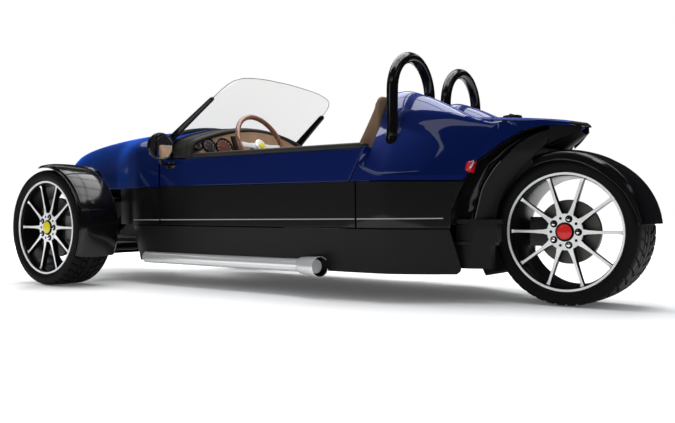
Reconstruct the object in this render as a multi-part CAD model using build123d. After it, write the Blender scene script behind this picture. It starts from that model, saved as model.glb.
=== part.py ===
"""Open two-seat three-wheeled car: two steered wheels in front and one wheel behind.

Row frame: +X is the car's left, +Y its rear, +Z up. The origin lies on the ground under the middle of
the overall length. Lengths are in millimetres. Heights are above the ground, and names that end in _S
are stations: distances behind the front axle.
"""
from build123d import *

from math import cos, radians, sin
import os

# ---------------------------------------------------------------- driving dimensions
OVERALL_LENGTH = 3660.0
WHEELBASE = 2528.0
NOSE_OVERHANG = 770.0  # nose tip to front axle
FRONT_AXLE_Y = NOSE_OVERHANG - OVERALL_LENGTH / 2

# wheels
TYRE_RADIUS = 307.0
TYRE_SHOULDER = 22.0
RIM_LIP_RADIUS = 246.0
RIM_WALL = 9.0
LIP_INSET = 10.0  # rim lips lie this far inside the tyre's sides
LIP_WIDTH = 10.0
BEAD_DEPTH = 16.0  # bead seat below the rim lip
BEAD_RISE = 22.0  # the tyre's side starts this far above its bead
TYRE_TOE = 14.0  # the bead lies this far inside the tyre's side
FRONT_TYRE_WIDTH = 225.0
REAR_TYRE_WIDTH = 285.0
FRONT_TYRE_X = 762.0  # centre plane of a front tyre
SPOKE_COUNT = 10
SPOKE_WIDTH = 20.0
SPOKE_DEPTH = 24.0
SPOKE_ROOT = 8.0  # spokes reach this far into the hub
SPOKE_OVERLAP = 4.0  # and this far into the barrel
SPOKE_INSET = 14.0  # spokes lie this far inside the rim's outer edge
HUB_RADIUS = 76.0
LUG_CIRCLE_RADIUS = 56.0
LUG_HOLE_RADIUS = 8.0
LUG_COUNT = 5
HUB_DEPTH = 40.0
CAP_RADIUS = 30.0
CAP_DEPTH = 10.0
CAP_SEAT = 6.0  # hub face behind the spoke faces
BORE_END = 16.0  # the spindle bore ends this far behind them
SPINDLE_RADIUS = 21.0
RUNNING_FIT = 0.05  # radial clearance of a shaft in its bore
DISC_RADIUS = 158.0
DISC_THICKNESS = 22.0
DISC_BELL_RADIUS = 70.0
DISC_OFFSET = 14.0
DISC_GAP = 5.0
REAR_DISC_RADIUS = 134.0
CALIPER_OVERLAP = 54.0  # caliper depth inside the disc's edge
CALIPER_BEYOND = 28.0  # and outside it
CALIPER_HEIGHT = 124.0
CARRIER_PAD = 14.0
CALIPER_OUTER = 14.0
CALIPER_INNER = 26.0
SIDE_FIT = 0.3  # clearance of faces that seat on each other

# body form
BODY_HALF_WIDTH = 520.0  # side of the body along the cockpit
GROUND_CLEARANCE = 125.0
CREASE_Z = 320.0  # seam between the side and the sill panel
SPLIT_Z = 522.0  # the upper colour starts here
RIM_Z = 662.0  # underside of the padded cockpit rim
RIM_TRIM_DEPTH = 23.0
DOOR_WALL = 62.0
SHELL_WALL = 14.0
SEAM = 6.5  # gap round a door
COWL_FRONT_S = 600.0
COWL_REAR_S = 742.0
COWL_WALL = 32.0
DASH_THICKNESS = 34.0
DASH_BOTTOM_Z = 590.0
DASH_HALF = 446.0  # between the doors
DOOR_FRONT_S = 507.0
DOOR_REAR_LOW_S = 1752.0
DOOR_REAR_MID_S = 1720.0
DOOR_REAR_TOP_S = 1795.0
BODY_REAR_S = 2606.0
BODY_TAPER_S = 2120.0  # rear end of the sills
REAR_TIP_S = OVERALL_LENGTH - NOSE_OVERHANG  # flared tip of the rear fender
BAY_FRONT_S = -300.0  # suspension bay in the lower side of the nose
BAY_REAR_S = 256.0

# cockpit tub
FIREWALL_S = 330.0
FLOOR_WALL = 25.0
FOOTWELL_HALF = 405.0
TUB_HALF = 430.0
TUB_FRONT_S = 600.0
PARTITION_HALF = 400.0
BULKHEAD_S = 1815.0
SILL_WIDTH = 38.0  # sill panel at the floor
SILL_NOTCH_Z = 186.0  # raised sill bottom over the exhaust
SILL_NOTCH_SPACE = 24.0  # from the exhaust mouth to the notch's end

# windshield
RAKE = 33.0  # degrees of the glass from level
GLASS_THICKNESS = 6.0
GLASS_CROWN_V = 453.0  # glass crown along the glass normal
GLASS_EDGE_V = 340.0
GLASS_HALF = 497.0
POST_THICKNESS = 9.0
POST_BASE_WIDTH = 78.0
POST_TOP_WIDTH = 34.0
POST_OUTER_X = 489.0  # outer edge of a post at its foot, and at its head
POST_HEAD_X = 457.0
POST_BASE_UP = 880.0  # foot and head of a post up the glass slope
POST_HEAD_UP = 1235.0
GLASS_REACH = 900.0
# Right half of the glass's outline: x, and distance up the glass slope
GLASS_OUTLINE = [
    (0, 876), (260, 890), (486, 915), (453, 1256), (436, 1312),
    (396, 1350), (330, 1356), (180, 1345), (0, 1338),
]

# roll hoops
HOOP_TUBE_RADIUS = 23.0
HOOP_TOP_Z = 1104.0
HOOP_X = 245.0
HOOP_HALF_SPAN = 165.0
HOOP_S = 1877.0
HOOP_FOOT_Z = 400.0

# rear frame under the hoops
CROSS_HALF = 430.0
CROSS_DEPTH = 30.0  # of the cross member, each way from the hoops
CROSS_HEIGHT = 40.0
REAR_RAIL_X0 = 96.0
REAR_RAIL_X1 = 140.0
REAR_RAIL_Z = 250.0
REAR_BEAM_TOP_Z = 320.0
BEAM_END = 40.0  # beams reach this far past the pivot

# head fairings
FAIRING_HALF = 136.0

# steering and front suspension
KINGPIN_X = 705.0
BALL_OFFSET_Z = 122.0  # ball joints above and below the axle
EYE_RADIUS = 20.0
EYE_HEIGHT = 28.0
PIN_RADIUS = 9.0
ARM_RADIUS = 15.0
RAIL_X = 225.0
RAIL_SIZE = 44.0
LOWER_RAIL_Z = 190.0
UPPER_RAIL_Z = 480.0
FRAME_FRONT_S = -480.0
WISHBONE_SPREAD = 185.0
STEER_ARM_S = 130.0
STEER_ARM_Z = 262.0
STEER_ARM_HALF = 14.0
STEER_ARM_END = 16.0  # past the tie rod's eye
STEER_ARM_HEIGHT = 16.0
PIN_ROOT = 40.0  # ball pins start this far inside their eyes' middle
POCKET_HALF = 90.0
POCKET_INNER_X = 600.0
PAD_HALF = 30.0
TIE_EYE_RADIUS = 16.0
TIE_OVERLAP = 4.0
RACK_RADIUS = 13.0
HOUSING_RADIUS = 26.0
HOUSING_HALF = 215.0
TIE_ROD_RADIUS = 9.0
TIE_EYE_HEIGHT = 16.0
TIE_GAP = 1.0
DAMPER_RADIUS = 29.0
DAMPER_FOOT_X0 = 470.0
DAMPER_FOOT_X1 = 530.0
DAMPER_FOOT_HALF = 46.0
DAMPER_FOOT_LOW = 8.0  # below and above the lower ball joint
DAMPER_FOOT_HIGH = 14.0
DAMPER_HEAD = 6.0  # damper's head outside the rail's middle
ARM_ROOT = 30.0  # wishbone arms are cut this far inside the rail's side
ARM_SPLAY = 1.08
SADDLE_OVERLAP = 40.0
SADDLE_HALF = 14.0
ENGINE_MOUNT_HALF = 20.0
SPINDLE_INSET = 18.0
UPRIGHT_WIDTH = 60.0
STAY_S = 84.0
STAY_Z = 322.0
TIE_Z = STEER_ARM_Z - TIE_GAP - TIE_EYE_HEIGHT / 2
RACK_HALF = 300.0

# engine block between the rails
ENGINE_HALF = 178.0
ENGINE_FRONT_S = -370.0
ENGINE_REAR_S = 92.0
ENGINE_TOP_Z = 600.0
ENGINE_MOUNTS_S = (-330.0, 60.0)

# fenders
FRONT_FENDER_RADIUS = 340.0
FENDER_WALL = 7.0
FRONT_FENDER_INNER_X = 644.0
FRONT_FENDER_OUTER_X = 874.0
FRONT_FENDER_TOP = 98.0  # degrees up from the level line behind the axle
FRONT_FENDER_LOW = -26.0
REAR_FENDER_RADIUS = 347.0
REAR_FENDER_HALF = 162.0
REAR_FENDER_TOP = 112.0
REAR_FENDER_LOW = 6.0
REAR_STAY_ANGLES = (104, 60, 14)
STAY_ROOT = 8.0  # stays start this far outside the carrier
STAY_RING = 22.0
STAY_RADIUS = 8.0

# rear end
PIVOT_S = 2090.0
PIVOT_RADIUS = 26.0
PIVOT_Z = 285.0
ARM_X = -182.0
ARM_WIDTH = 36.0
ARM_HEIGHT = 86.0
CARRIER_RADIUS = 58.0
CARRIER_INNER_X = -24.0

# fittings
EXHAUST_RADIUS = 31.0
TIP_RADIUS = 40.0
TIP_LENGTH = 150.0
TIP_NECK = 30.0
HANGERS_S = (500.0, 900.0, 1300.0)
HANGER_HALF_WIDTH = 5.0
HANGER_HALF = 18.0
HANGER_OVERLAP = 2.0
EXHAUST_WALL = 3.0
EXHAUST_X = 471.0
EXHAUST_Z = 145.0
EXHAUST_FRONT_S = 345.0
EXHAUST_END_S = 1420.0
EXHAUST_TURN = 16.0  # degrees outwards
MIRROR_RADIUS = 70.0
MIRROR_DEPTH = 56.0
MIRROR_CENTRE = (606.0, 604.0, 722.0)
MIRROR_FOOT = (516.0, 592.0, 632.0)
MIRROR_STALK_RADIUS = 9.0
MIRROR_STALK_DROP = 40.0
MIRROR_FOOT_RADIUS = 26.0
MIRROR_FOOT_IN = 8.0
MIRROR_FOOT_OUT = 10.0
LAMP_RADIUS = 86.0
LAMP_DEPTH = 120.0
LAMP_CENTRE = (488.0, -150.0, 572.0)
LENS_THICKNESS = 12.0
LENS_LIP = 8.0  # bucket rim round the lens
LAMP_RECESS = 8.0  # behind the lens
LAMP_ARM_RADIUS = 12.0
LAMP_ARM_RISE = 6.0
GRILLE_DEPTH = 18.0
GRILLE_INSET = 2.0
GRILLE_SLOT = 22.0
GRILLE_PITCH = 36
GRILLE_BOTTOM_Z = 250
GRILLE_TOP_Z = 600
GRILLE_NARROW_Z = 520  # slots above this are shorter
GRILLE_HALF = 132.0
GRILLE_NARROW_HALF = 100.0
TAIL_LAMP_X = 322.0
TAIL_LAMP_INNER_X = 240.0
TAIL_LAMP_S0 = 2186.0
TAIL_LAMP_S1 = 2244.0
TAIL_LAMP_Z0 = 548.0
TAIL_LAMP_Z1 = 602.0
FUEL_CAP_S = 2252.0
FUEL_CAP_RADIUS = 43.0
FUEL_CAP_Z = 800.0
FUEL_CAP_HEIGHT = 14.0
FUEL_NECK_DEPTH = 30.0
FUEL_NECK_STEP = 8.0
STEERING_WHEEL_RADIUS = 165.0
STEERING_RIM_RADIUS = 13.0
STEERING_TILT = 22.5  # degrees of the wheel from upright
STEERING_CENTRE = (245.0, 977.0, 733.0)
BOSS_RADIUS = 38.0
BOSS_DEPTH = 26.0
BOSS_OVERLAP = 6.0
SPOKE_BAR_WIDTH = 26.0
SPOKE_BAR_DEPTH = 5.0
SPOKE_BAR_DROP = 3.0
RIM_OVERLAP = 3.0
COLUMN_RADIUS = 19.0
SEAT_X = 222.0
SEAT_HALF = 178.0
SEAT_FRONT_S = 1190.0
SEAT_Z = 330.0
BACK_THICKNESS = 30.0  # seat back at its top
BACK_TOP_S = 1766.0
BACK_TOP_Z = 905.0
BACK_FOOT_S = 1600.0
BACK_REST_Z = 760.0  # the back leans on the bulkhead up to here
BACK_SPACE = 16.0

UNDERTRAY_INNER_X = 205.0
UNDERTRAY_OUTER_X = 326.0
# Columns: rear station, low z, high z, inset of its outer face
UNDERTRAY_STEPS = [
    (2262, 150, 250, 40),
    (2280, 250, 264, 22),
    (2290, 264, 340, 40),
    (2312, 340, 358, 14),
]

BIG = 2400.0  # reaches past the whole car

os.makedirs("parts", exist_ok=True)
NODES = {}


def at(x, s, z):
    """Row-frame point from x, station and height."""
    return (x, FRONT_AXLE_Y + s, z)


def keep(name, *shapes):
    """Gives a node its solids."""
    solids = [solid for shape in shapes for solid in shape.solids()]
    NODES[name] = Compound(children=solids) if len(solids) > 1 else solids[0]


def block(x0, x1, s0, s1, z0, z1):
    """Box between two stations."""
    return Pos(*at((x0 + x1) / 2, (s0 + s1) / 2, (z0 + z1) / 2)) * Box(abs(x1 - x0), abs(s1 - s0),
                                                                       abs(z1 - z0))


def clear_of(shape, others):
    """A piece cut back from its neighbours."""
    for other in others:
        shape = shape - other
    return shape


def other_side(shape):
    """The same piece on the other side of the car."""
    return mirror(shape, Plane.YZ)


def rod(start, end, radius):
    """Round bar between two points."""
    axis = Vector(*end) - Vector(*start)
    plane = Plane(origin=start, z_dir=axis)
    return plane * Cylinder(radius, axis.length, align=(Align.CENTER, Align.CENTER, Align.MIN))


def barrel(x0, x1, radius, s=0.0, z=TYRE_RADIUS):
    """Cylinder along X, on an axle by default."""
    return rod(at(x0, s, z), at(x1, s, z), radius)


def side_prism(points, half=BIG):
    """Side-view polygon of (station, height) pairs, thickened across the car."""
    face = Face(Wire.make_polygon([at(0, s, z) for s, z in points], close=True))
    return extrude(face, half, dir=(1, 0, 0), both=True)


def spun(profile, x_mid, s):
    """Ring of revolution about an axle, from (x offset, radius) pairs."""
    outline = Wire.make_polygon([at(x_mid + x, s, TYRE_RADIUS + r) for x, r in profile], close=True)
    axle = Axis(at(0, s, TYRE_RADIUS), (1, 0, 0))
    return revolve(Face(outline), axle)


# ---------------------------------------------------------------- body form
# Columns: station, crown z, shoulder x, shoulder z, half width, its z, half width at the crease,
# half width at the floor, floor z, fullness of the shoulder arc
NOSE_SECTIONS = [
    (-NOSE_OVERHANG, 655, 120, 632, 175, 530, 170, 140, 230, 0.66),
    (-700, 716, 185, 684, 250, 535, 242, 200, 175, 0.66),
    (-560, 778, 235, 735, 305, 545, 295, 250, 145, 0.66),
    (-300, 828, 290, 773, 352, 562, 342, 300, 130, 0.66),
    (0, 850, 345, 788, 408, 600, 400, 355, GROUND_CLEARANCE, 0.67),
    (250, 856, 425, 786, 497, 670, 490, 442, GROUND_CLEARANCE, 0.69),
    (340, 857, 444, 781, 515, 684, 510, 460, GROUND_CLEARANCE, 0.70),
    (460, 857, 462, 773, BODY_HALF_WIDTH - 1, 690, BODY_HALF_WIDTH - 6, BODY_HALF_WIDTH - 53,
     GROUND_CLEARANCE, 0.71),
    (COWL_FRONT_S, 857, 472, 768, BODY_HALF_WIDTH, 690, BODY_HALF_WIDTH - 5, BODY_HALF_WIDTH - 52,
     GROUND_CLEARANCE, 0.72),
    (COWL_REAR_S, 857, 472, 768, BODY_HALF_WIDTH, 690, BODY_HALF_WIDTH - 5, BODY_HALF_WIDTH - 52,
     GROUND_CLEARANCE, 0.72),
]
TAIL_SECTIONS = [
    (DOOR_REAR_MID_S - 20, 800, 372, 786, BODY_HALF_WIDTH, 640, BODY_HALF_WIDTH - 5, BODY_HALF_WIDTH - 52,
     GROUND_CLEARANCE, 0.56),
    (1880, 806, 356, 790, 508, 545, 502, 456, GROUND_CLEARANCE, 0.55),
    (2000, 808, 326, 785, 442, 545, 437, 398, GROUND_CLEARANCE, 0.55),
    (BODY_TAPER_S, 806, 292, 780, 350, 545, 346, 322, GROUND_CLEARANCE, 0.55),
    (2250, 800, 254, 775, 285, 545, 280, 250, GROUND_CLEARANCE, 0.55),
    (2400, 786, 200, 768, 224, 545, 218, 188, GROUND_CLEARANCE, 0.55),
    (2500, 774, 142, 762, 165, 545, 158, 130, GROUND_CLEARANCE, 0.55),
    (BODY_REAR_S, 758, 42, 752, 65, 545, 58, 44, GROUND_CLEARANCE, 0.55),
]


def section_wire(row, inset, drop):
    """Closed body section: crown arc, two shoulder arcs, sides, sills and floor."""
    s, crown, shoulder_x, shoulder_z, half, half_z, crease, floor, floor_z, full = row
    crown -= inset
    shoulder_x -= inset * 0.6
    shoulder_z -= inset
    half -= inset
    crease -= inset
    floor -= inset
    floor_z -= drop
    mid_x = shoulder_x + (half - shoulder_x) * full
    mid_z = half_z + (shoulder_z - half_z) * full
    top = Edge.make_three_point_arc(at(-shoulder_x, s, shoulder_z), at(0, s, crown), at(shoulder_x, s,
                                                                                        shoulder_z))
    edges = [top]
    for side in (1, -1):
        corners = [at(side * half, s, half_z), at(side * crease, s, CREASE_Z), at(side * floor, s, floor_z)]
        edges.append(Edge.make_three_point_arc(at(side * shoulder_x, s, shoulder_z), at(side * mid_x, s,
                                                                                        mid_z), corners[0]))
        edges += [Edge.make_line(a, b) for a, b in zip(corners, corners[1:])]
    edges.append(Edge.make_line(at(floor, s, floor_z), at(-floor, s, floor_z)))
    return Wire(edges)


def body_form(sections, inset=0.0, drop=0.0):
    """Solid through the sections, shrunk by inset and lowered at the floor by drop."""
    return Solid.make_loft([section_wire(row, inset, drop) for row in sections])


OPEN_BELOW = 130.0  # the hollow reaches this far under the floor line
nose_form = body_form(NOSE_SECTIONS)
nose_shell = nose_form - body_form(NOSE_SECTIONS, SHELL_WALL, OPEN_BELOW)
middle_form = extrude(Face(section_wire(NOSE_SECTIONS[-1], 0, 0)), BULKHEAD_S - COWL_REAR_S, dir=(0, 1, 0))
tail_form = body_form(TAIL_SECTIONS)
tail_shell = tail_form - body_form(TAIL_SECTIONS, SHELL_WALL, OPEN_BELOW)


def door_outline(gap):
    """Side view of a door, grown by gap."""
    return [
        (DOOR_FRONT_S - gap, CREASE_Z - gap),
        (DOOR_REAR_LOW_S + gap, CREASE_Z - gap),
        (DOOR_REAR_LOW_S + gap, SPLIT_Z),
        (DOOR_REAR_MID_S + gap, SPLIT_Z),
        (DOOR_REAR_TOP_S + gap, RIM_Z + RIM_TRIM_DEPTH + 2),
        (DOOR_REAR_TOP_S + gap, RIM_Z + 60),
        (COWL_REAR_S, RIM_Z + 60),
        (COWL_REAR_S, RIM_Z + gap),
        (DOOR_FRONT_S - gap, RIM_Z + gap),
    ]


door_space = side_prism(door_outline(SEAM))
split_low = block(-BIG, BIG, -BIG, 2 * BIG, -BIG, SPLIT_Z)


# ---------------------------------------------------------------- shell pieces
def make_nose():
    """Blue hood, black lower nose, side panels ahead of and behind the doors, and the padded cowl."""
    bay = block(-BIG, BIG, BAY_FRONT_S, BAY_REAR_S, -BIG, SPLIT_Z + 8)
    cowl_zone = block(-BIG, BIG, COWL_FRONT_S, COWL_REAR_S + 50, RIM_Z, BIG)
    behind_door = block(-BIG, BIG, DOOR_FRONT_S - SEAM, BIG, -BIG, RIM_Z + SEAM)
    hood = nose_shell - bay - cowl_zone - behind_door - split_low
    keep("hood_shell", hood)
    lower = (nose_shell - bay - door_space) & split_low
    keep("nose_lower", lower & block(-BIG, BIG, -BIG, BAY_FRONT_S, 0, BIG))
    return lower & block(-BIG, BIG, BAY_REAR_S, DOOR_FRONT_S, CREASE_Z - SEAM, BIG)


def make_cowl():
    """Padded band across the car under the windshield."""
    zone = block(-BIG, BIG, COWL_FRONT_S, COWL_REAR_S, RIM_Z + SEAM, BIG)
    core = body_form(NOSE_SECTIONS, COWL_WALL, OPEN_BELOW)
    keep("cowl_pad", (nose_form - core) & zone)
    inside = core & block(-BIG, BIG, COWL_REAR_S - DASH_THICKNESS, COWL_REAR_S, DASH_BOTTOM_Z, BIG)
    keep("dash_panel", (inside - door_space) + (inside & block(-DASH_HALF, DASH_HALF, 0, BIG, 0, BIG)))


def fairing(side, inset):
    """Head fairing behind a seat, highest at the front and fading into the deck."""
    sections = []
    for s, top, half, base in FAIRING_SECTIONS:
        half_in = half - inset
        foot = [at(side * HOOP_X + sign * half_in, s, base) for sign in (-1, 1)]
        arc = Edge.make_three_point_arc(foot[0], at(side * HOOP_X, s, top - inset), foot[1])
        sections.append(Wire([arc, Edge.make_line(foot[1], foot[0])]))
    return Solid.make_loft(sections)


# Columns: station, top z, half width, base z
FAIRING_SECTIONS = [
    (BULKHEAD_S - 12, 926, FAIRING_HALF, 762),
    (1850, 928, FAIRING_HALF, 762),
    (1960, 896, 120, 762),
    (2070, 846, 96, 762),
    (2180, 790, 64, 762),
]


def rear_edge_prism(points):
    """Everything behind and below a side-view edge line that starts at the floor."""
    last_z = points[-1][1]
    return side_prism([(points[0][0], -10), *points, (3600, last_z), (3600, -10)])


# Edge lines of the blue deck and of the black arch: station and height
BLUE_EDGE = [(2126, 400), (2132, 450), (2176, 531), (2218, 606), (2292, 667), (2380, 727), (2460, 750),
             (2640, 756)]
ARCH_EDGE = [(2196, 330), (2206, 400), (2240, 500), (2306, 590), (2386, 660), (2475, 668), (2560, 716),
             (2640, 756.5)]


def make_tail(front_side_panels):
    """Rear deck with its fairings, the black arch panels and the lower side panels."""
    cockpit = block(-BIG, BIG, -BIG, BULKHEAD_S - 12, RIM_Z, BIG) + door_space
    shell = tail_shell - cockpit
    outer = shell
    for side in (1, -1):
        outer = outer + (fairing(side, 0) - body_form(TAIL_SECTIONS, SHELL_WALL, OPEN_BELOW))
    for side in (1, -1):
        outer = outer - fairing(side, SHELL_WALL)
    hoop_holes = [rod(at(x, HOOP_S, 300), at(x, HOOP_S, BIG), HOOP_TUBE_RADIUS + SIDE_FIT)
                  for x in hoop_legs()]
    for hole in hoop_holes:
        outer = outer - hole
    outer = outer - rod(at(0, FUEL_CAP_S, RIM_Z), at(0, FUEL_CAP_S, BIG), FUEL_CAP_RADIUS - FUEL_NECK_STEP)
    blue = outer - split_low - rear_edge_prism(BLUE_EDGE)
    keep("rear_body", blue)
    arch = (shell - rear_edge_prism(ARCH_EDGE)) & rear_edge_prism(BLUE_EDGE)
    keep("arch_panels", arch & block(-BIG, BIG, 0, 2 * BIG, 330, BIG))
    side = (shell & split_low) & block(-BIG, BIG, DOOR_REAR_LOW_S, BIG, CREASE_Z - SEAM, BIG)
    keep("side_panels", front_side_panels, side - rear_edge_prism(BLUE_EDGE))


def hoop_legs():
    """The four X places of the hoop legs."""
    return [side * (HOOP_X + end * HOOP_HALF_SPAN) for side in (1, -1) for end in (-1, 1)]


def make_sills():
    """Sill panels under the crease, with a raised bottom over the exhaust pipes."""
    rows = [row for row in NOSE_SECTIONS if row[0] >= 0][1:-1] + TAIL_SECTIONS[:4]
    top = CREASE_Z - SEAM
    for_sides = []
    for side in (1, -1):
        sections = []
        for row in rows:
            s, crease, floor, floor_z = row[0], row[6], row[7], row[8]
            slope = (crease - floor) / (CREASE_Z - floor_z)
            outer_top = crease - slope * (CREASE_Z - top)
            inner = floor - SILL_WIDTH
            corners = [(inner, floor_z), (floor, floor_z), (outer_top, top), (inner, top)]
            sections.append(Wire.make_polygon([at(side * x, s, z) for x, z in corners], close=True))
        for_sides.append(Solid.make_loft(sections, ruled=True))
    notch_end = EXHAUST_END_S + TIP_LENGTH + SILL_NOTCH_SPACE
    notch = block(-BIG, BIG, 0, notch_end, 0, SILL_NOTCH_Z)
    front = block(-BIG, BIG, 0, BAY_REAR_S, 0, BIG)
    sills = [sill - notch - front for sill in for_sides]
    keep("sill_panels", *sills)
    return sills


# ---------------------------------------------------------------- cockpit
def partition(s):
    """Cross wall of the cockpit: between the sills at the bottom, as wide as the body above them."""
    low = block(-PARTITION_HALF, PARTITION_HALF, s, s + FLOOR_WALL, GROUND_CLEARANCE, CREASE_Z)
    return low + block(-BIG, BIG, s, s + FLOOR_WALL, CREASE_Z - SEAM, BIG)


def make_tub(sills):
    """Floor tub: footwell and seat well, with a firewall in front and a bulkhead behind."""
    outer = block(-TUB_HALF, TUB_HALF, TUB_FRONT_S, BULKHEAD_S, GROUND_CLEARANCE, CREASE_Z - SEAM)
    outer = outer + block(-FOOTWELL_HALF, FOOTWELL_HALF, FIREWALL_S, TUB_FRONT_S, GROUND_CLEARANCE,
                          CREASE_Z - SEAM)
    floor_top = GROUND_CLEARANCE + FLOOR_WALL
    inner = block(FLOOR_WALL - TUB_HALF, TUB_HALF - FLOOR_WALL, TUB_FRONT_S + FLOOR_WALL, BULKHEAD_S,
                  floor_top, BIG)
    inner_front = FOOTWELL_HALF - FLOOR_WALL
    inner = inner + block(-inner_front, inner_front, FIREWALL_S, TUB_FRONT_S + FLOOR_WALL, floor_top, BIG)
    keep("floor_tub", clear_of(outer - inner, sills))
    core = body_form(NOSE_SECTIONS, SHELL_WALL + SIDE_FIT, 0)
    keep("firewall", core & partition(FIREWALL_S - FLOOR_WALL))
    tail_core = body_form(TAIL_SECTIONS, SHELL_WALL + SIDE_FIT, 0)
    keep("bulkhead", tail_core & partition(BULKHEAD_S))


def make_seats():
    """Two seats on the tub floor, each a cushion and a leaning back."""
    floor_top = GROUND_CLEARANCE + FLOOR_WALL
    lean = (BACK_TOP_S - BACK_FOOT_S) / (BACK_TOP_Z - SEAT_Z)
    cushions = []
    backs = []
    for side in (1, -1):
        x0, x1 = side * (SEAT_X - SEAT_HALF), side * (SEAT_X + SEAT_HALF)
        rear = BACK_FOOT_S - SIDE_FIT
        cushion = side_prism([(SEAT_FRONT_S, floor_top), (rear - lean * 180, floor_top), (rear, SEAT_Z),
                              (SEAT_FRONT_S + 30, SEAT_Z)])
        back = side_prism([
            (BACK_FOOT_S - lean * 180, floor_top),
            (BACK_TOP_S, BACK_TOP_Z),
            (BACK_TOP_S + BACK_THICKNESS, BACK_TOP_Z),
            (BULKHEAD_S - BACK_SPACE, BACK_REST_Z),
            (BACK_FOOT_S + 140, floor_top),
        ])
        cushions.append((cushion - back) & block(x0, x1, 0, BIG, 0, BIG))
        backs.append(back & block(x0, x1, 0, BIG, 0, BIG))
    keep("seat_cushions", *cushions)
    keep("seat_backs", *backs)


def make_windshield():
    """Raked frameless glass, curved round its middle, between two posts."""
    rake = radians(RAKE)
    along = Vector(0, cos(rake), sin(rake))
    normal = Vector(0, -sin(rake), cos(rake))
    start = Vector(0, FRONT_AXLE_Y, 0)

    def glass_point(x, v):
        return start + Vector(x, 0, 0) + normal * v

    def curved_sheet(low_v, high_v):
        arcs = []
        for v in (low_v, high_v):
            ends = [glass_point(sign * GLASS_HALF, GLASS_EDGE_V + v) for sign in (-1, 1)]
            arcs.append(Edge.make_three_point_arc(ends[0], glass_point(0, GLASS_CROWN_V + v), ends[1]))
        closing = [Edge.make_line(arcs[0].position_at(end), arcs[1].position_at(end)) for end in (0, 1)]
        return extrude(Face(Wire([*arcs, *closing])), BIG, dir=tuple(along))

    def cut_out(outline):
        face = Face(Wire.make_polygon([start + Vector(x, 0, 0) + along * up for x, up in outline],
                                      close=True))
        return extrude(face, GLASS_REACH, dir=tuple(normal))

    form = body_form(NOSE_SECTIONS)
    outline = GLASS_OUTLINE + [(-x, up) for x, up in reversed(GLASS_OUTLINE[1:-1])]
    keep("windshield", (curved_sheet(0, GLASS_THICKNESS) & cut_out(outline)) - form)
    band = curved_sheet(GLASS_THICKNESS, GLASS_THICKNESS + POST_THICKNESS)
    posts = []
    for side in (1, -1):
        blade = cut_out([
            (side * POST_OUTER_X, POST_BASE_UP),
            (side * POST_HEAD_X, POST_HEAD_UP),
            (side * (POST_HEAD_X - POST_TOP_WIDTH), POST_HEAD_UP),
            (side * (POST_OUTER_X - POST_BASE_WIDTH), POST_BASE_UP),
        ])
        posts.append((band & blade) - form)
    keep("windshield_posts", *posts)


def make_hoops():
    """Roll hoops: two arches of round tube with a collar on each leg."""
    hoops = []
    for side in (1, -1):
        top_z = HOOP_TOP_Z - HOOP_TUBE_RADIUS - HOOP_HALF_SPAN
        centre = at(side * HOOP_X, HOOP_S, top_z)
        start = Plane(at(side * HOOP_X + HOOP_HALF_SPAN, HOOP_S, top_z), z_dir=(0, 0, 1))
        tube = Face(Wire.make_circle(HOOP_TUBE_RADIUS, start))
        hoop = revolve(tube, Axis(centre, (0, -1, 0)), 180)
        for sign in (-1, 1):
            x = side * HOOP_X + sign * HOOP_HALF_SPAN
            hoop = hoop + rod(at(x, HOOP_S, HOOP_FOOT_Z), at(x, HOOP_S, top_z), HOOP_TUBE_RADIUS)
        hoops.append(hoop)
    keep("roll_hoops", *hoops)
    front, rear = HOOP_S - CROSS_DEPTH, HOOP_S + CROSS_DEPTH
    low = HOOP_FOOT_Z - CROSS_HEIGHT
    frame = block(-CROSS_HALF, CROSS_HALF, front, rear, low, HOOP_FOOT_Z)
    for side in (1, -1):
        x0, x1 = side * REAR_RAIL_X0, side * REAR_RAIL_X1
        frame = frame + block(x0, x1, BULKHEAD_S + FLOOR_WALL, rear, REAR_RAIL_Z, low)
    for side in (1, -1):
        x0, x1 = side * REAR_RAIL_X0, side * REAR_RAIL_X1
        frame = frame + block(x0, x1, rear, PIVOT_S + BEAM_END, REAR_RAIL_Z, REAR_BEAM_TOP_Z)
    pivot = rod(at(-CROSS_HALF, PIVOT_S, PIVOT_Z), at(CROSS_HALF, PIVOT_S, PIVOT_Z), PIVOT_RADIUS + SIDE_FIT)
    keep("rear_frame", frame - pivot)


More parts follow.
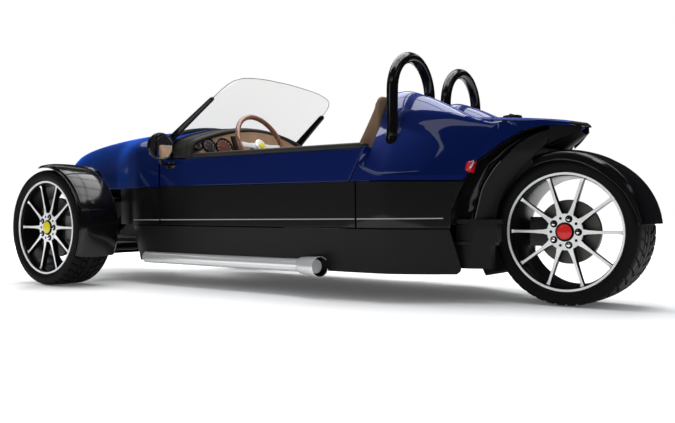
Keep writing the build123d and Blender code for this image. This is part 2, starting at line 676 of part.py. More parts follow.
# ---------------------------------------------------------------- wheels
def wheel_pieces(x_mid, s, width, face):
    """Tyre, rim with ten spokes, and brake disc. face is the side of the outer face along X."""
    half = width / 2
    bead = RIM_LIP_RADIUS - BEAD_DEPTH
    shoulder = TYRE_RADIUS - TYRE_SHOULDER
    tyre = spun([
        (-half + TYRE_TOE, bead),
        (-half, bead + BEAD_RISE),
        (-half, shoulder),
        (-half + TYRE_SHOULDER, TYRE_RADIUS),
        (half - TYRE_SHOULDER, TYRE_RADIUS),
        (half, shoulder),
        (half, bead + BEAD_RISE),
        (half - TYRE_TOE, bead),
    ], x_mid, s)
    lip = half - LIP_INSET
    seat = lip - LIP_WIDTH
    rim = spun([
        (-lip, bead - RIM_WALL),
        (lip, bead - RIM_WALL),
        (lip, RIM_LIP_RADIUS),
        (seat, RIM_LIP_RADIUS),
        (seat, bead - SIDE_FIT),
        (-seat, bead - SIDE_FIT),
        (-seat, RIM_LIP_RADIUS),
        (-lip, RIM_LIP_RADIUS),
    ], x_mid, s)
    tyre = tyre - barrel(x_mid - half, x_mid - seat + SIDE_FIT, RIM_LIP_RADIUS + SIDE_FIT, s)
    tyre = tyre - barrel(x_mid + seat - SIDE_FIT, x_mid + half, RIM_LIP_RADIUS + SIDE_FIT, s)
    face_x = x_mid + face * (lip - SPOKE_INSET)
    back_x = face_x - face * SPOKE_DEPTH
    hub_back = face_x - face * HUB_DEPTH
    hub_face = face_x - face * CAP_SEAT
    rim = rim + barrel(hub_face, hub_back, HUB_RADIUS, s)
    centre = at(0, s, TYRE_RADIUS)
    root = TYRE_RADIUS + HUB_RADIUS - SPOKE_ROOT
    reach = TYRE_RADIUS + bead - RIM_WALL + SPOKE_OVERLAP
    spoke = block(face_x, back_x, s - SPOKE_WIDTH / 2, s + SPOKE_WIDTH / 2, root, reach)
    for number in range(SPOKE_COUNT):
        rim = rim + spoke.rotate(Axis(centre, (1, 0, 0)), number * 360 / SPOKE_COUNT)
    lug_z = TYRE_RADIUS + LUG_CIRCLE_RADIUS
    lug = rod(at(face_x + face, s, lug_z), at(hub_back - face, s, lug_z), LUG_HOLE_RADIUS)
    for number in range(LUG_COUNT):
        rim = rim - lug.rotate(Axis(centre, (1, 0, 0)), (number + 0.5) * 360 / LUG_COUNT)
    rim = rim - barrel(face_x - face * BORE_END, hub_back - face, SPINDLE_RADIUS + RUNNING_FIT, s)
    rim = rim + barrel(hub_face, hub_face + face * CAP_DEPTH, CAP_RADIUS, s)
    return tyre, rim, hub_back, face_x


def make_disc(hub_back, face, s, radius):
    """Brake disc with its bell, seated on the back of the hub."""
    disc_x = hub_back - face * DISC_OFFSET
    disc = barrel(hub_back, disc_x, DISC_BELL_RADIUS, s)
    disc = disc + barrel(disc_x, disc_x - face * DISC_THICKNESS, radius, s)
    bore_end = disc_x - face * (DISC_THICKNESS + 1)
    disc = disc - barrel(hub_back + face, bore_end, SPINDLE_RADIUS + RUNNING_FIT, s)
    return disc, disc_x


def caliper(disc_x, face, s, radius, way=1):
    """Caliper astride the disc, behind the axle or ahead of it."""
    half = CALIPER_HEIGHT / 2
    near, far = s + way * (radius - CALIPER_OVERLAP), s + way * (radius + CALIPER_BEYOND)
    body = block(disc_x + face * CALIPER_OUTER, disc_x - face * (DISC_THICKNESS + CALIPER_INNER),
                 near, far, TYRE_RADIUS - half, TYRE_RADIUS + half)
    slot = barrel(disc_x + face * DISC_GAP, disc_x - face * (DISC_THICKNESS + DISC_GAP), radius + DISC_GAP, s)
    return body - slot


def arc_panel(radius, wall, x0, x1, top, low, s):
    """Curved fender skin round an axle, from angle top to angle low above the level line behind it."""
    corners = ((x0, radius - wall), (x1, radius - wall), (x1, radius), (x0, radius))
    outline = [at(x, s, TYRE_RADIUS + r) for x, r in corners]
    axle = Axis(at(0, s, TYRE_RADIUS), (-1, 0, 0))
    profile = Face(Wire.make_polygon(outline, close=True)).rotate(axle, 90 - top)
    return revolve(profile, axle, top - low)


def around(x, s, radius, angle):
    """Point beside an axle at an angle above the level line behind it."""
    return at(x, s + radius * cos(radians(angle)), TYRE_RADIUS + radius * sin(radians(angle)))


def keep_pair(name, shape):
    """Names a piece on the left and its mirror image on the right."""
    keep(f"{name}_left", shape)
    keep(f"{name}_right", other_side(shape))


def make_front_corner():
    """Front wheels, their knuckles, and the fenders that steer with them."""
    side = 1
    tyre, rim, hub_back, face_x = wheel_pieces(side * FRONT_TYRE_X, 0, FRONT_TYRE_WIDTH, side)
    disc, disc_x = make_disc(hub_back, side, 0, DISC_RADIUS)
    keep_pair("tyre_front", tyre)
    keep_pair("rim_front", rim)
    keep_pair("brake_disc_front", disc)

    inner_face = disc_x - side * (DISC_THICKNESS + DISC_GAP)
    spindle_end = face_x - side * SPINDLE_INSET
    half = UPRIGHT_WIDTH / 2
    inboard = side * (KINGPIN_X - EYE_RADIUS)
    upright = block(inboard, inner_face, -half, half, TYRE_RADIUS - BALL_OFFSET_Z, TYRE_RADIUS
                    + BALL_OFFSET_Z)
    upright = upright + barrel(inner_face, spindle_end, SPINDLE_RADIUS)
    for sign in (-1, 1):
        z0 = TYRE_RADIUS + sign * BALL_OFFSET_Z
        reach = EYE_HEIGHT / 2 + DISC_GAP
        pocket_x = side * (KINGPIN_X + EYE_RADIUS + DISC_GAP)
        pocket = block(side * POCKET_INNER_X, pocket_x, -POCKET_HALF, POCKET_HALF, z0 - reach, z0 + reach)
        pin_start = at(side * KINGPIN_X, 0, z0 - sign * PIN_ROOT)
        pin_end = at(side * KINGPIN_X, 0, z0 + sign * EYE_HEIGHT / 2)
        upright = upright - pocket
        upright = upright + rod(pin_start, pin_end, PIN_RADIUS)
    steering_arm = block(side * (KINGPIN_X - STEER_ARM_HALF), side * (KINGPIN_X + STEER_ARM_HALF),
                         0, STEER_ARM_S + STEER_ARM_END, STEER_ARM_Z, STEER_ARM_Z + STEER_ARM_HEIGHT)
    reach = DISC_RADIUS - CALIPER_OVERLAP + CARRIER_PAD
    pad = block(inboard, inner_face, 0, reach, TYRE_RADIUS - PAD_HALF, TYRE_RADIUS + PAD_HALF)
    keep_pair("knuckle", upright + steering_arm + pad + caliper(disc_x, side, 0, DISC_RADIUS))

    skin = arc_panel(FRONT_FENDER_RADIUS, FENDER_WALL, side * FRONT_FENDER_INNER_X,
                     side * FRONT_FENDER_OUTER_X,
                     FRONT_FENDER_TOP, FRONT_FENDER_LOW, 0)
    stay_x = side * (FRONT_FENDER_INNER_X - STAY_RADIUS + 2)
    root = at(stay_x, STAY_S, STAY_Z)
    fender = skin + rod(at(inboard - side * SIDE_FIT, STAY_S, STAY_Z), root,
                        STAY_RADIUS) + Pos(*root) * Sphere(STAY_RADIUS)
    for angle in (76, 38, 2):
        fender = fender + rod(root, around(stay_x, 0, FRONT_FENDER_RADIUS - FENDER_WALL / 2, angle),
                              STAY_RADIUS)
    keep_pair("front_fender", fender)


def make_rear_corner():
    """Rear wheel on a single-sided swing arm, with its fender."""
    s = WHEELBASE
    tyre, rim, hub_back, face_x = wheel_pieces(0, s, REAR_TYRE_WIDTH, 1)
    disc, disc_x = make_disc(hub_back, 1, s, REAR_DISC_RADIUS)
    keep("tyre_rear", tyre)
    keep("rim_rear", rim)
    keep("brake_disc_rear", disc)
    inner_face = disc_x - DISC_THICKNESS - DISC_GAP
    arm_in = ARM_X + ARM_WIDTH / 2
    arm_out = ARM_X - ARM_WIDTH / 2
    half = ARM_HEIGHT / 2
    arm = side_prism([(PIVOT_S - 44, PIVOT_Z - half), (PIVOT_S - 44, PIVOT_Z + half),
                      (s, TYRE_RADIUS + half), (s, TYRE_RADIUS - half)])
    arm = arm & block(arm_out, arm_in, 0, BIG * 2, 0, BIG)
    arm = arm + rod(at(arm_out, PIVOT_S, PIVOT_Z), at(-arm_in, PIVOT_S, PIVOT_Z), PIVOT_RADIUS)
    arm = arm + barrel(arm_out, CARRIER_INNER_X, CARRIER_RADIUS, s)
    arm = arm + barrel(CARRIER_INNER_X - 1, face_x - SPINDLE_INSET, SPINDLE_RADIUS, s)
    reach = REAR_DISC_RADIUS - CALIPER_OVERLAP + CARRIER_PAD
    arm = arm + block(CARRIER_INNER_X - 40, inner_face, s - reach, s, TYRE_RADIUS - 30, TYRE_RADIUS + 30)
    keep("swing_arm", arm + caliper(disc_x, 1, s, REAR_DISC_RADIUS, -1))
    skin = arc_panel(REAR_FENDER_RADIUS, FENDER_WALL, -REAR_FENDER_HALF, REAR_FENDER_HALF, REAR_FENDER_TOP,
                     REAR_FENDER_LOW, s)
    stay_x = arm_in + STAY_RADIUS - 1
    tip = around(0, 0, REAR_FENDER_RADIUS, REAR_FENDER_LOW)
    tip_s, tip_z = s + tip[1] - FRONT_AXLE_Y, tip[2]
    flare = side_prism([(tip_s - FENDER_WALL, tip_z + 4), (tip_s - 0.5, tip_z + 4), (REAR_TIP_S, tip_z - 16),
                        (REAR_TIP_S - FENDER_WALL, tip_z - 20)], REAR_FENDER_HALF)
    fender = skin + flare
    for angle in REAR_STAY_ANGLES:
        root = around(stay_x, s, CARRIER_RADIUS + STAY_ROOT, angle)
        end = around(stay_x, s, REAR_FENDER_RADIUS - FENDER_WALL / 2, angle)
        fender = fender + rod(root, end, STAY_RADIUS)
    ring = barrel(arm_in, stay_x + STAY_RADIUS, CARRIER_RADIUS + STAY_RING, s)
    ring = ring - barrel(arm_out, CARRIER_INNER_X, CARRIER_RADIUS + SIDE_FIT, s)
    keep("rear_fender", fender + ring - arm)


# ---------------------------------------------------------------- front chassis
def make_front_chassis():
    """Front frame rails, engine block, wishbones, dampers and the steering rack."""
    half = RAIL_SIZE / 2
    rear = FIREWALL_S - FLOOR_WALL
    frame = None
    for side in (1, -1):
        for z in (LOWER_RAIL_Z, UPPER_RAIL_Z):
            rail = block(side * (RAIL_X - half), side * (RAIL_X + half), FRAME_FRONT_S, rear, z - half,
                         z + half)
            frame = rail if frame is None else frame + rail
        for s in (FRAME_FRONT_S, rear - RAIL_SIZE):
            post = block(side * (RAIL_X - half), side * (RAIL_X + half), s, s + RAIL_SIZE, LOWER_RAIL_Z,
                         UPPER_RAIL_Z)
            frame = frame + post
    for z in (LOWER_RAIL_Z, UPPER_RAIL_Z):
        frame = frame + block(-RAIL_X, RAIL_X, FRAME_FRONT_S, FRAME_FRONT_S + RAIL_SIZE, z - half, z + half)
    for s in ENGINE_MOUNTS_S:
        front, back = s - ENGINE_MOUNT_HALF, s + ENGINE_MOUNT_HALF
        frame = frame + block(-RAIL_X, RAIL_X, front, back, LOWER_RAIL_Z - half, LOWER_RAIL_Z + half)
    housing = rod(at(-HOUSING_HALF, STEER_ARM_S, TIE_Z), at(HOUSING_HALF, STEER_ARM_S, TIE_Z), HOUSING_RADIUS)
    frame = frame + housing
    for side in (1, -1):
        saddle = block(side * (RAIL_X - half), side * (HOUSING_HALF - SADDLE_OVERLAP),
                       STEER_ARM_S - SADDLE_HALF, STEER_ARM_S + SADDLE_HALF, LOWER_RAIL_Z, TIE_Z)
        frame = frame + saddle
    frame = frame - rod(at(-BIG, STEER_ARM_S, TIE_Z), at(BIG, STEER_ARM_S, TIE_Z), RACK_RADIUS + RUNNING_FIT)
    keep("front_frame", frame)
    low = LOWER_RAIL_Z + half
    keep("engine_block", block(-ENGINE_HALF, ENGINE_HALF, ENGINE_FRONT_S, ENGINE_REAR_S, low, ENGINE_TOP_Z))

    arms = []
    dampers = []
    for side in (1, -1):
        inner_x = side * (RAIL_X + half)
        for sign, rail_z in ((-1, LOWER_RAIL_Z), (1, UPPER_RAIL_Z)):
            eye_z = TYRE_RADIUS + sign * BALL_OFFSET_Z
            centre = at(side * KINGPIN_X, 0, eye_z)
            eye_low = at(side * KINGPIN_X, 0, eye_z - EYE_HEIGHT / 2)
            eye_high = at(side * KINGPIN_X, 0, eye_z + EYE_HEIGHT / 2)
            arm = rod(eye_low, eye_high, EYE_RADIUS)
            for end in (-1, 1):
                root = at(inner_x - side * ARM_ROOT, end * WISHBONE_SPREAD / 2 * ARM_SPLAY, rail_z)
                arm = arm + rod(root, centre, ARM_RADIUS)
            if sign < 0:
                arm = arm + block(side * DAMPER_FOOT_X0, side * DAMPER_FOOT_X1, -DAMPER_FOOT_HALF,
                                  DAMPER_FOOT_HALF, eye_z - DAMPER_FOOT_LOW, eye_z + DAMPER_FOOT_HIGH)
            arm = arm - rod(at(side * KINGPIN_X, 0, 0), at(side * KINGPIN_X, 0, BIG), PIN_RADIUS
                            + RUNNING_FIT)
            arms.append(arm - block(-inner_x, inner_x + side * SIDE_FIT, -BIG, BIG, 0, BIG))
        foot = at(side * (DAMPER_FOOT_X0 + DAMPER_FOOT_X1) / 2, 0, TYRE_RADIUS - BALL_OFFSET_Z)
        damper = rod(foot, at(side * (RAIL_X + DAMPER_HEAD), 0, UPPER_RAIL_Z), DAMPER_RADIUS)
        damper = damper - block(-inner_x, inner_x + side * SIDE_FIT, -BIG, BIG, 0, BIG)
        foot_top = TYRE_RADIUS - BALL_OFFSET_Z + DAMPER_FOOT_HIGH + SIDE_FIT
        dampers.append(damper - block(0, side * BIG, -BIG, BIG, 0, foot_top))
    keep("wishbones", *arms)
    keep("dampers", *dampers)

    rack = rod(at(-RACK_HALF, STEER_ARM_S, TIE_Z), at(RACK_HALF, STEER_ARM_S, TIE_Z), RACK_RADIUS)
    for side in (1, -1):
        eye_x = side * KINGPIN_X
        tie_start = at(side * (RACK_HALF - TIE_OVERLAP), STEER_ARM_S, TIE_Z)
        rack = rack + rod(tie_start, at(eye_x, STEER_ARM_S, TIE_Z), TIE_ROD_RADIUS)
        low = STEER_ARM_Z - TIE_GAP - TIE_EYE_HEIGHT
        high = low + TIE_EYE_HEIGHT
        rack = rack + rod(at(eye_x, STEER_ARM_S, low), at(eye_x, STEER_ARM_S, high), TIE_EYE_RADIUS)
    keep("steering_rack", rack)


# ---------------------------------------------------------------- fittings
def make_doors():
    """Doors cut from the same form as the body, each with a padded top and a mirror."""
    for side, label in ((1, "left"), (-1, "right")):
        wall = block(side * (BODY_HALF_WIDTH - DOOR_WALL), side * BIG, 0, BIG, 0, BIG)
        prism = side_prism(door_outline(0)) - block(-BIG, BIG, 0, BIG, RIM_Z, BIG)
        form = nose_form & block(-BIG, BIG, 0, COWL_REAR_S, 0, BIG)
        door = ((middle_form & prism) + (form & prism)) & wall
        keep(f"door_{label}", door)
        trim_front = COWL_REAR_S + SEAM
        trim_top = RIM_Z + RIM_TRIM_DEPTH
        trim = side_prism([(trim_front, RIM_Z), (DOOR_REAR_TOP_S, RIM_Z), (DOOR_REAR_TOP_S, trim_top),
                           (trim_front, trim_top)])
        inner_x, outer_x = side * (BODY_HALF_WIDTH - DOOR_WALL), side * (BODY_HALF_WIDTH + 1)
        keep(f"door_trim_{label}", trim & block(inner_x, outer_x, 0, BIG, 0, BIG))
        x, s, z = MIRROR_CENTRE
        foot_x, foot_s, foot_z = MIRROR_FOOT
        half = MIRROR_DEPTH / 2
        housing = rod(at(side * x, s - half, z), at(side * x, s + half, z), MIRROR_RADIUS)
        stalk_end = at(side * x, s, z - MIRROR_STALK_DROP)
        stalk = rod(at(side * foot_x, foot_s, foot_z), stalk_end, MIRROR_STALK_RADIUS)
        plate = rod(at(side * (foot_x - MIRROR_FOOT_IN), foot_s, foot_z),
                    at(side * (foot_x + MIRROR_FOOT_OUT), foot_s, foot_z), MIRROR_FOOT_RADIUS)
        keep(f"mirror_{label}", (housing + stalk + plate) - door)


def make_lamps():
    """Headlamp buckets with their lenses, and tail lamps on the arch panels."""
    buckets = []
    lenses = []
    tails = []
    x, s, z = LAMP_CENTRE
    rail_side = RAIL_X + RAIL_SIZE / 2 + SIDE_FIT
    mouth_radius = LAMP_RADIUS - LENS_LIP
    for side in (1, -1):
        front = s - LAMP_DEPTH / 2
        recess = front + LENS_THICKNESS + LAMP_RECESS
        bucket = rod(at(side * x, front, z), at(side * x, front + LAMP_DEPTH, z), LAMP_RADIUS)
        bucket = bucket - rod(at(side * x, front - 1, z), at(side * x, recess, z), mouth_radius)
        arm_top = at(side * x, s, z - LAMP_RADIUS + LAMP_ARM_RISE)
        bracket = rod(arm_top, at(side * rail_side, s, UPPER_RAIL_Z), LAMP_ARM_RADIUS)
        bucket = bucket + (bracket - block(-rail_side, rail_side, -BIG, BIG, 0, BIG))
        buckets.append(bucket - NODES["hood_shell"])
        lens_back = at(side * x, front + LENS_THICKNESS, z)
        lenses.append(rod(at(side * x, front, z), lens_back, mouth_radius - SIDE_FIT))
        lamp = block(side * TAIL_LAMP_INNER_X, side * TAIL_LAMP_X, TAIL_LAMP_S0, TAIL_LAMP_S1,
                     TAIL_LAMP_Z0, TAIL_LAMP_Z1)
        tails.append(lamp - tail_form)
    keep("headlamps", *buckets)
    keep("headlamp_lenses", *lenses)
    keep("tail_lamps", *tails)


def make_steering_wheel():
    """Steering column, and the wheel with its rim, three spokes and boss."""
    tilt = radians(STEERING_TILT)
    centre = Vector(*at(*STEERING_CENTRE))
    normal = Vector(0, cos(tilt), sin(tilt))
    plane = Plane(origin=centre, x_dir=(1, 0, 0), z_dir=normal)
    rim = plane * Torus(STEERING_WHEEL_RADIUS, STEERING_RIM_RADIUS)
    spokes = plane * Pos(0, 0, -BOSS_DEPTH / 2) * Cylinder(BOSS_RADIUS, BOSS_DEPTH)
    outer = STEERING_WHEEL_RADIUS - STEERING_RIM_RADIUS + RIM_OVERLAP
    inner = BOSS_RADIUS - BOSS_OVERLAP
    for angle in (0, 180, 270):
        bar = Pos((outer + inner) / 2, 0, -SPOKE_BAR_DROP) * Box(outer - inner, SPOKE_BAR_WIDTH,
                                                                 SPOKE_BAR_DEPTH)
        spokes = spokes + plane * Rot(0, 0, angle) * bar
    keep("steering_rim", rim)
    keep("steering_spokes", spokes - rim)
    back = plane.origin - normal * (BOSS_DEPTH + SIDE_FIT)
    length = (back.Y - FRONT_AXLE_Y - COWL_REAR_S) / cos(tilt)
    column = rod(tuple(back), tuple(back - normal * (length + 30)), COLUMN_RADIUS)
    keep("steering_column", column - block(-BIG, BIG, 0, COWL_REAR_S, 0, BIG))


def make_fittings():
    """Exhaust pipes with hangers, grille, fuel cap and the lower rear panels."""
    pipes = []
    turn = radians(EXHAUST_TURN)
    for side in (1, -1):
        start = at(side * EXHAUST_X, EXHAUST_FRONT_S, EXHAUST_Z)
        bend = at(side * EXHAUST_X, EXHAUST_END_S, EXHAUST_Z)
        mouth = Vector(*bend) + Vector(side * sin(turn), cos(turn), 0) * TIP_LENGTH
        pipe = rod(start, bend, EXHAUST_RADIUS) + Pos(*bend) * Sphere(EXHAUST_RADIUS)
        pipe = pipe + rod(bend, tuple(mouth), TIP_RADIUS)
        bore = EXHAUST_RADIUS - EXHAUST_WALL
        pipe = pipe - rod(start, bend, bore) - Pos(*bend) * Sphere(bore)
        way = Vector(side * sin(turn), cos(turn), 0)
        pipe = pipe - rod(tuple(Vector(*bend) + way * TIP_NECK), tuple(mouth + way), TIP_RADIUS
                          - EXHAUST_WALL)
        pipe = pipe - rod(bend, tuple(mouth), bore)
        pipe_top = EXHAUST_Z + EXHAUST_RADIUS - HANGER_OVERLAP
        for s in HANGERS_S:
            hanger = block(side * (EXHAUST_X - HANGER_HALF_WIDTH), side * (EXHAUST_X + HANGER_HALF_WIDTH),
                           s - HANGER_HALF, s + HANGER_HALF, pipe_top, SILL_NOTCH_Z)
            pipe = pipe + hanger
        pipes.append(pipe)
    keep("exhaust_pipes", *pipes)

    opening = body_form(NOSE_SECTIONS, SHELL_WALL + SIDE_FIT, 0)
    grille_front = -NOSE_OVERHANG + GRILLE_INSET
    grille = opening & block(-BIG, BIG, grille_front, grille_front + GRILLE_DEPTH, 0, BIG)
    for bottom in range(GRILLE_BOTTOM_Z, GRILLE_TOP_Z, GRILLE_PITCH):
        half = GRILLE_HALF if bottom < GRILLE_NARROW_Z else GRILLE_NARROW_HALF
        grille = grille - block(-half, half, -BIG, BAY_FRONT_S, bottom, bottom + GRILLE_SLOT)
    keep("grille", grille)

    foot = at(0, FUEL_CAP_S, FUEL_CAP_Z - FUEL_NECK_DEPTH)
    cap = rod(foot, at(0, FUEL_CAP_S, FUEL_CAP_Z + FUEL_CAP_HEIGHT), FUEL_CAP_RADIUS)
    neck = rod(foot, at(0, FUEL_CAP_S, FUEL_CAP_Z), FUEL_CAP_RADIUS - FUEL_NECK_STEP - SIDE_FIT)
    keep("fuel_cap", (cap - tail_form) + neck)

    core = body_form(TAIL_SECTIONS, SHELL_WALL + SIDE_FIT, OPEN_BELOW)
    panels = []
    for side in (1, -1):
        panel = None
        for rear, low, high, inset in UNDERTRAY_STEPS:
            step = block(side * UNDERTRAY_INNER_X, side * (UNDERTRAY_OUTER_X - inset), BODY_TAPER_S, rear,
                         low, high)
            panel = step if panel is None else panel + step
        panels.append(panel & core)
    keep("rear_undertray", *panels)


front_side_panels = make_nose()
make_cowl()
make_tail(front_side_panels)
make_tub(make_sills())
make_seats()
make_windshield()
make_hoops()
make_front_corner()
make_rear_corner()
make_front_chassis()
make_doors()
make_lamps()
make_steering_wheel()
make_fittings()

for name, shape in NODES.items():
    export_step(shape, f"parts/{name}.step")
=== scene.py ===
"""Looks of an open two-seat three-wheeled car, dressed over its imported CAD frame.

Everything is in metres in the row frame: +X is the car's left, +Y its rear, +Z up. A station is a
distance behind the front axle.
"""

import bmesh
import bpy
import numpy as np
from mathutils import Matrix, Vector


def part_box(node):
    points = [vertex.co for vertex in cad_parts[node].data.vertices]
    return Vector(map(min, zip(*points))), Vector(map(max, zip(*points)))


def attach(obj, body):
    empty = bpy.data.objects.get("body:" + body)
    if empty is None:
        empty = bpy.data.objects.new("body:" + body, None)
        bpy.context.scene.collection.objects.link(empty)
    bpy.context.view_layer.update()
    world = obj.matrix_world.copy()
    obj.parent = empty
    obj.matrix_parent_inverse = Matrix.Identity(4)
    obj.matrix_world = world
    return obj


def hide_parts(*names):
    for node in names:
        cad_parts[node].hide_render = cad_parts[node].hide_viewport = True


bl_info = {
    "name": "Three-Wheeled Car",
    "version": (1, 0, 0),
    "blender": (4, 5, 0),
    "location": "View3D > Sidebar > Car",
    "description": "Builds the body, wheels, cabin and studio of an open three-wheeled car",
    "category": "Add Mesh",
}

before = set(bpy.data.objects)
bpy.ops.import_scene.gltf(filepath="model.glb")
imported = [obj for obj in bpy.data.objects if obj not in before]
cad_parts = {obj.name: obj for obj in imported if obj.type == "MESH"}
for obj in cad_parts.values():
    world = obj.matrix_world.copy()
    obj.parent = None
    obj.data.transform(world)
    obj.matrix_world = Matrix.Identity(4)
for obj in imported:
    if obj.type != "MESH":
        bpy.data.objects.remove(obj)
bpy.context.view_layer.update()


def node_middle(node):
    """Centre of a CAD node's box."""
    low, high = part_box(node)
    return (np.array(low) + np.array(high)) / 2


FRONT_HUB = node_middle("tyre_front_left")
REAR_HUB = node_middle("tyre_rear")
AXLE_Y = FRONT_HUB[1]
AXLE_Z = FRONT_HUB[2]
TYRE_RADIUS = AXLE_Z

# heights and stations shared by the body pieces
CREASE_Z = 0.320
SPLIT_Z = 0.522
RIM_Z = 0.662
SEAM = 0.0065
DOOR_FRONT = 0.507
DOOR_REAR_LOW = 1.752
DOOR_REAR_MID = 1.720
DOOR_REAR_TOP = 1.795
COWL_FRONT = 0.600
COWL_REAR = 0.742
DOOR_WALL = 0.062
TAIL_START = 1.70
SIDES = ((1, "left"), (-1, "right"))


# ---- numpy surfaces
def surface(points, wrap_u=False, wrap_v=False, keep=None, mat=0):
    """Quads over a grid of points P(u, v); keep masks the cells, mat is a number or one per cell."""
    n, m = points.shape[:2]
    index = np.arange(n * m).reshape(n, m)
    rows = np.arange(n if wrap_u else n - 1)
    cols = np.arange(m if wrap_v else m - 1)
    r, c = np.meshgrid(rows, cols, indexing="ij")
    r2, c2 = (r + 1) % n, (c + 1) % m
    quads = np.stack([index[r, c], index[r2, c], index[r2, c2], index[r, c2]], axis=-1)
    mats = np.broadcast_to(np.asarray(mat), quads.shape[:2])
    if keep is not None:
        quads, mats = quads[keep], mats[keep]
    return points.reshape(-1, 3), quads.reshape(-1, 4), mats.reshape(-1)


def spread(x, y, z):
    """Points P = (x, y, z) over the grid that the three arrays span together."""
    return np.stack(np.broadcast_arrays(x, y, z), -1)


def flipped(patch):
    """The same patch with its faces turned over."""
    return patch[0], patch[1][:, ::-1], patch[2]


def mirrored(patch):
    """The patch on the other side of the car: x changes sign and the faces turn back outwards."""
    return patch[0] * (-1, 1, 1), patch[1][:, ::-1], patch[2]


def joined(patches):
    """Several patches as one."""
    base, verts, faces, mats = 0, [], [], []
    for v, f, m in patches:
        verts.append(v)
        faces.append(f + base)
        mats.append(m)
        base += len(v)
    return np.concatenate(verts), np.concatenate(faces), np.concatenate(mats)


def link(name, data):
    """New object at the origin, in the scene."""
    thing = bpy.data.objects.new(name, data)
    bpy.context.scene.collection.objects.link(thing)
    return thing


def recalc(mesh):
    """Makes the faces of every closed or nested shell look outwards."""
    bm = bmesh.new()
    bm.from_mesh(mesh)
    bmesh.ops.recalc_face_normals(bm, faces=bm.faces)
    bm.to_mesh(mesh)
    bm.free()


def face_data(mesh):
    """Normal and centre of each face."""
    rows = []
    for name in ("normal", "center"):
        values = np.zeros(len(mesh.polygons) * 3)
        mesh.polygons.foreach_get(name, values)
        rows.append(values.reshape(-1, 3))
    return rows


def make_piece(name, patches, finishes, body, replaces=(), merge=2e-5, smooth=40, outward=False):
    """Joins patches into one object, merges points closer than merge, and gives it finishes and a body."""
    verts, faces, mats = joined(patches)
    cells = np.round(verts / merge).astype(np.int64)
    _, first, index = np.unique(cells, axis=0, return_index=True, return_inverse=True)
    faces = index.reshape(-1)[faces]
    verts = verts[first]
    clean, kinds = [], []
    same = (faces == np.roll(faces, -1, axis=1))
    for quad, dup, kind in zip(faces.tolist(), same.tolist(), mats.tolist()):
        if any(dup):
            quad = list(dict.fromkeys(quad))
        if len(set(quad)) == len(quad) and len(quad) > 2:
            clean.append(quad)
            kinds.append(kind)
    mesh = bpy.data.meshes.new(name)
    mesh.from_pydata(verts.tolist(), [], clean)
    mesh.polygons.foreach_set("material_index", np.array(kinds, dtype=np.int32))
    mesh.polygons.foreach_set("use_smooth", np.ones(len(clean), dtype=bool))
    mesh.update()
    if outward:
        recalc(mesh)
    for finish in finishes:
        mesh.materials.append(MATERIALS[finish])
    piece = link(name, mesh)
    mesh.set_sharp_from_angle(angle=np.radians(smooth))
    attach(piece, body)
    if replaces:
        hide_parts(*replaces)
    return piece


def thicken(piece, thickness, bevel=0.0):
    """Gives a skin its wall, inwards, and softens its cut edges."""
    wall = piece.modifiers.new("wall", "SOLIDIFY")
    wall.thickness = thickness
    wall.offset = -1
    if bevel:
        edge = piece.modifiers.new("edges", "BEVEL")
        edge.width = bevel
        edge.segments = 2
        edge.limit_method = "ANGLE"
        edge.angle_limit = np.radians(50)
        edge.harden_normals = True
    return piece


def unit(v):
    """Vectors scaled to length one."""
    return v / np.maximum(np.linalg.norm(v, axis=-1, keepdims=True), 1e-12)


def swept(path, section, closed=False, caps=True, up=(0, 0, 1), scale=None, mat=0):
    """Profile carried along a path: P(i, j) = path_i + a_j * side_i + b_j * top_i."""
    path = np.asarray(path, float)
    if closed:
        ahead, behind = np.roll(path, -1, axis=0), np.roll(path, 1, axis=0)
    else:
        ahead = np.vstack([path[1:], path[-1:]])
        behind = np.vstack([path[:1], path[:-1]])
    tangent = unit(ahead - behind)
    side = unit(np.cross(tangent, np.broadcast_to(up, tangent.shape)))
    top = np.cross(side, tangent)
    size = np.ones(len(path)) if scale is None else np.asarray(scale)
    a, b = np.asarray(section).T
    offset = a[None, :, None] * side[:, None] + b[None, :, None] * top[:, None]
    points = path[:, None] + offset * size[:, None, None]
    body = surface(points, wrap_u=closed, wrap_v=True, mat=mat)
    if closed or not caps:
        return body
    ends = []
    for row, turn in ((points[0], False), (points[-1], True)):
        centre = np.repeat(row.mean(axis=0)[None], len(row), axis=0)
        cap = surface(np.stack([row, centre]), wrap_v=True, mat=mat)
        ends.append(cap if turn else flipped(cap))
    return joined([body, *[flipped(e) for e in ends]])


def ring(radius, sides=24):
    """Circle profile."""
    a = np.linspace(0, 2 * np.pi, sides, endpoint=False)
    return np.stack([radius * np.cos(a), radius * np.sin(a)], axis=1)


def tube(path, radius, sides=24, closed=False, up=(0, 0, 1), scale=None):
    """Round tube along a path."""
    return swept(path, ring(radius, sides), closed, up=up, scale=scale)


def lathe(profile, centre, axis, steps=96, mat=0, start=(0, 0, 1)):
    """Profile (a, r) spun round an axis: P = centre + a * axis + r * (cos w * e1 + sin w * e2)."""
    axis = unit(np.asarray(axis, float))
    e1 = unit(np.asarray(start, float) - axis * np.dot(start, axis))
    e2 = np.cross(axis, e1)
    w = np.linspace(0, 2 * np.pi, steps, endpoint=False)
    a, r = np.asarray(profile, float).T
    spoke = np.cos(w)[:, None] * e1 + np.sin(w)[:, None] * e2
    points = np.asarray(centre) + a[None, :, None] * axis + r[None, :, None] * spoke[:, None]
    return surface(points, wrap_u=True, mat=mat)


def rounded_box(half, radius, sides=6):
    """Rounded rectangle profile with half sizes and corner radius."""
    hx, hy = half
    quarter = np.linspace(0, np.pi / 2, sides)
    corners = []
    for number, (sx, sy) in enumerate(((1, 1), (-1, 1), (-1, -1), (1, -1))):
        a = quarter + number * np.pi / 2
        corners.append(np.stack([sx * (hx - radius) + radius * np.cos(a), sy * (hy - radius) + radius
                                 * np.sin(a)], 1))
    return np.concatenate(corners)


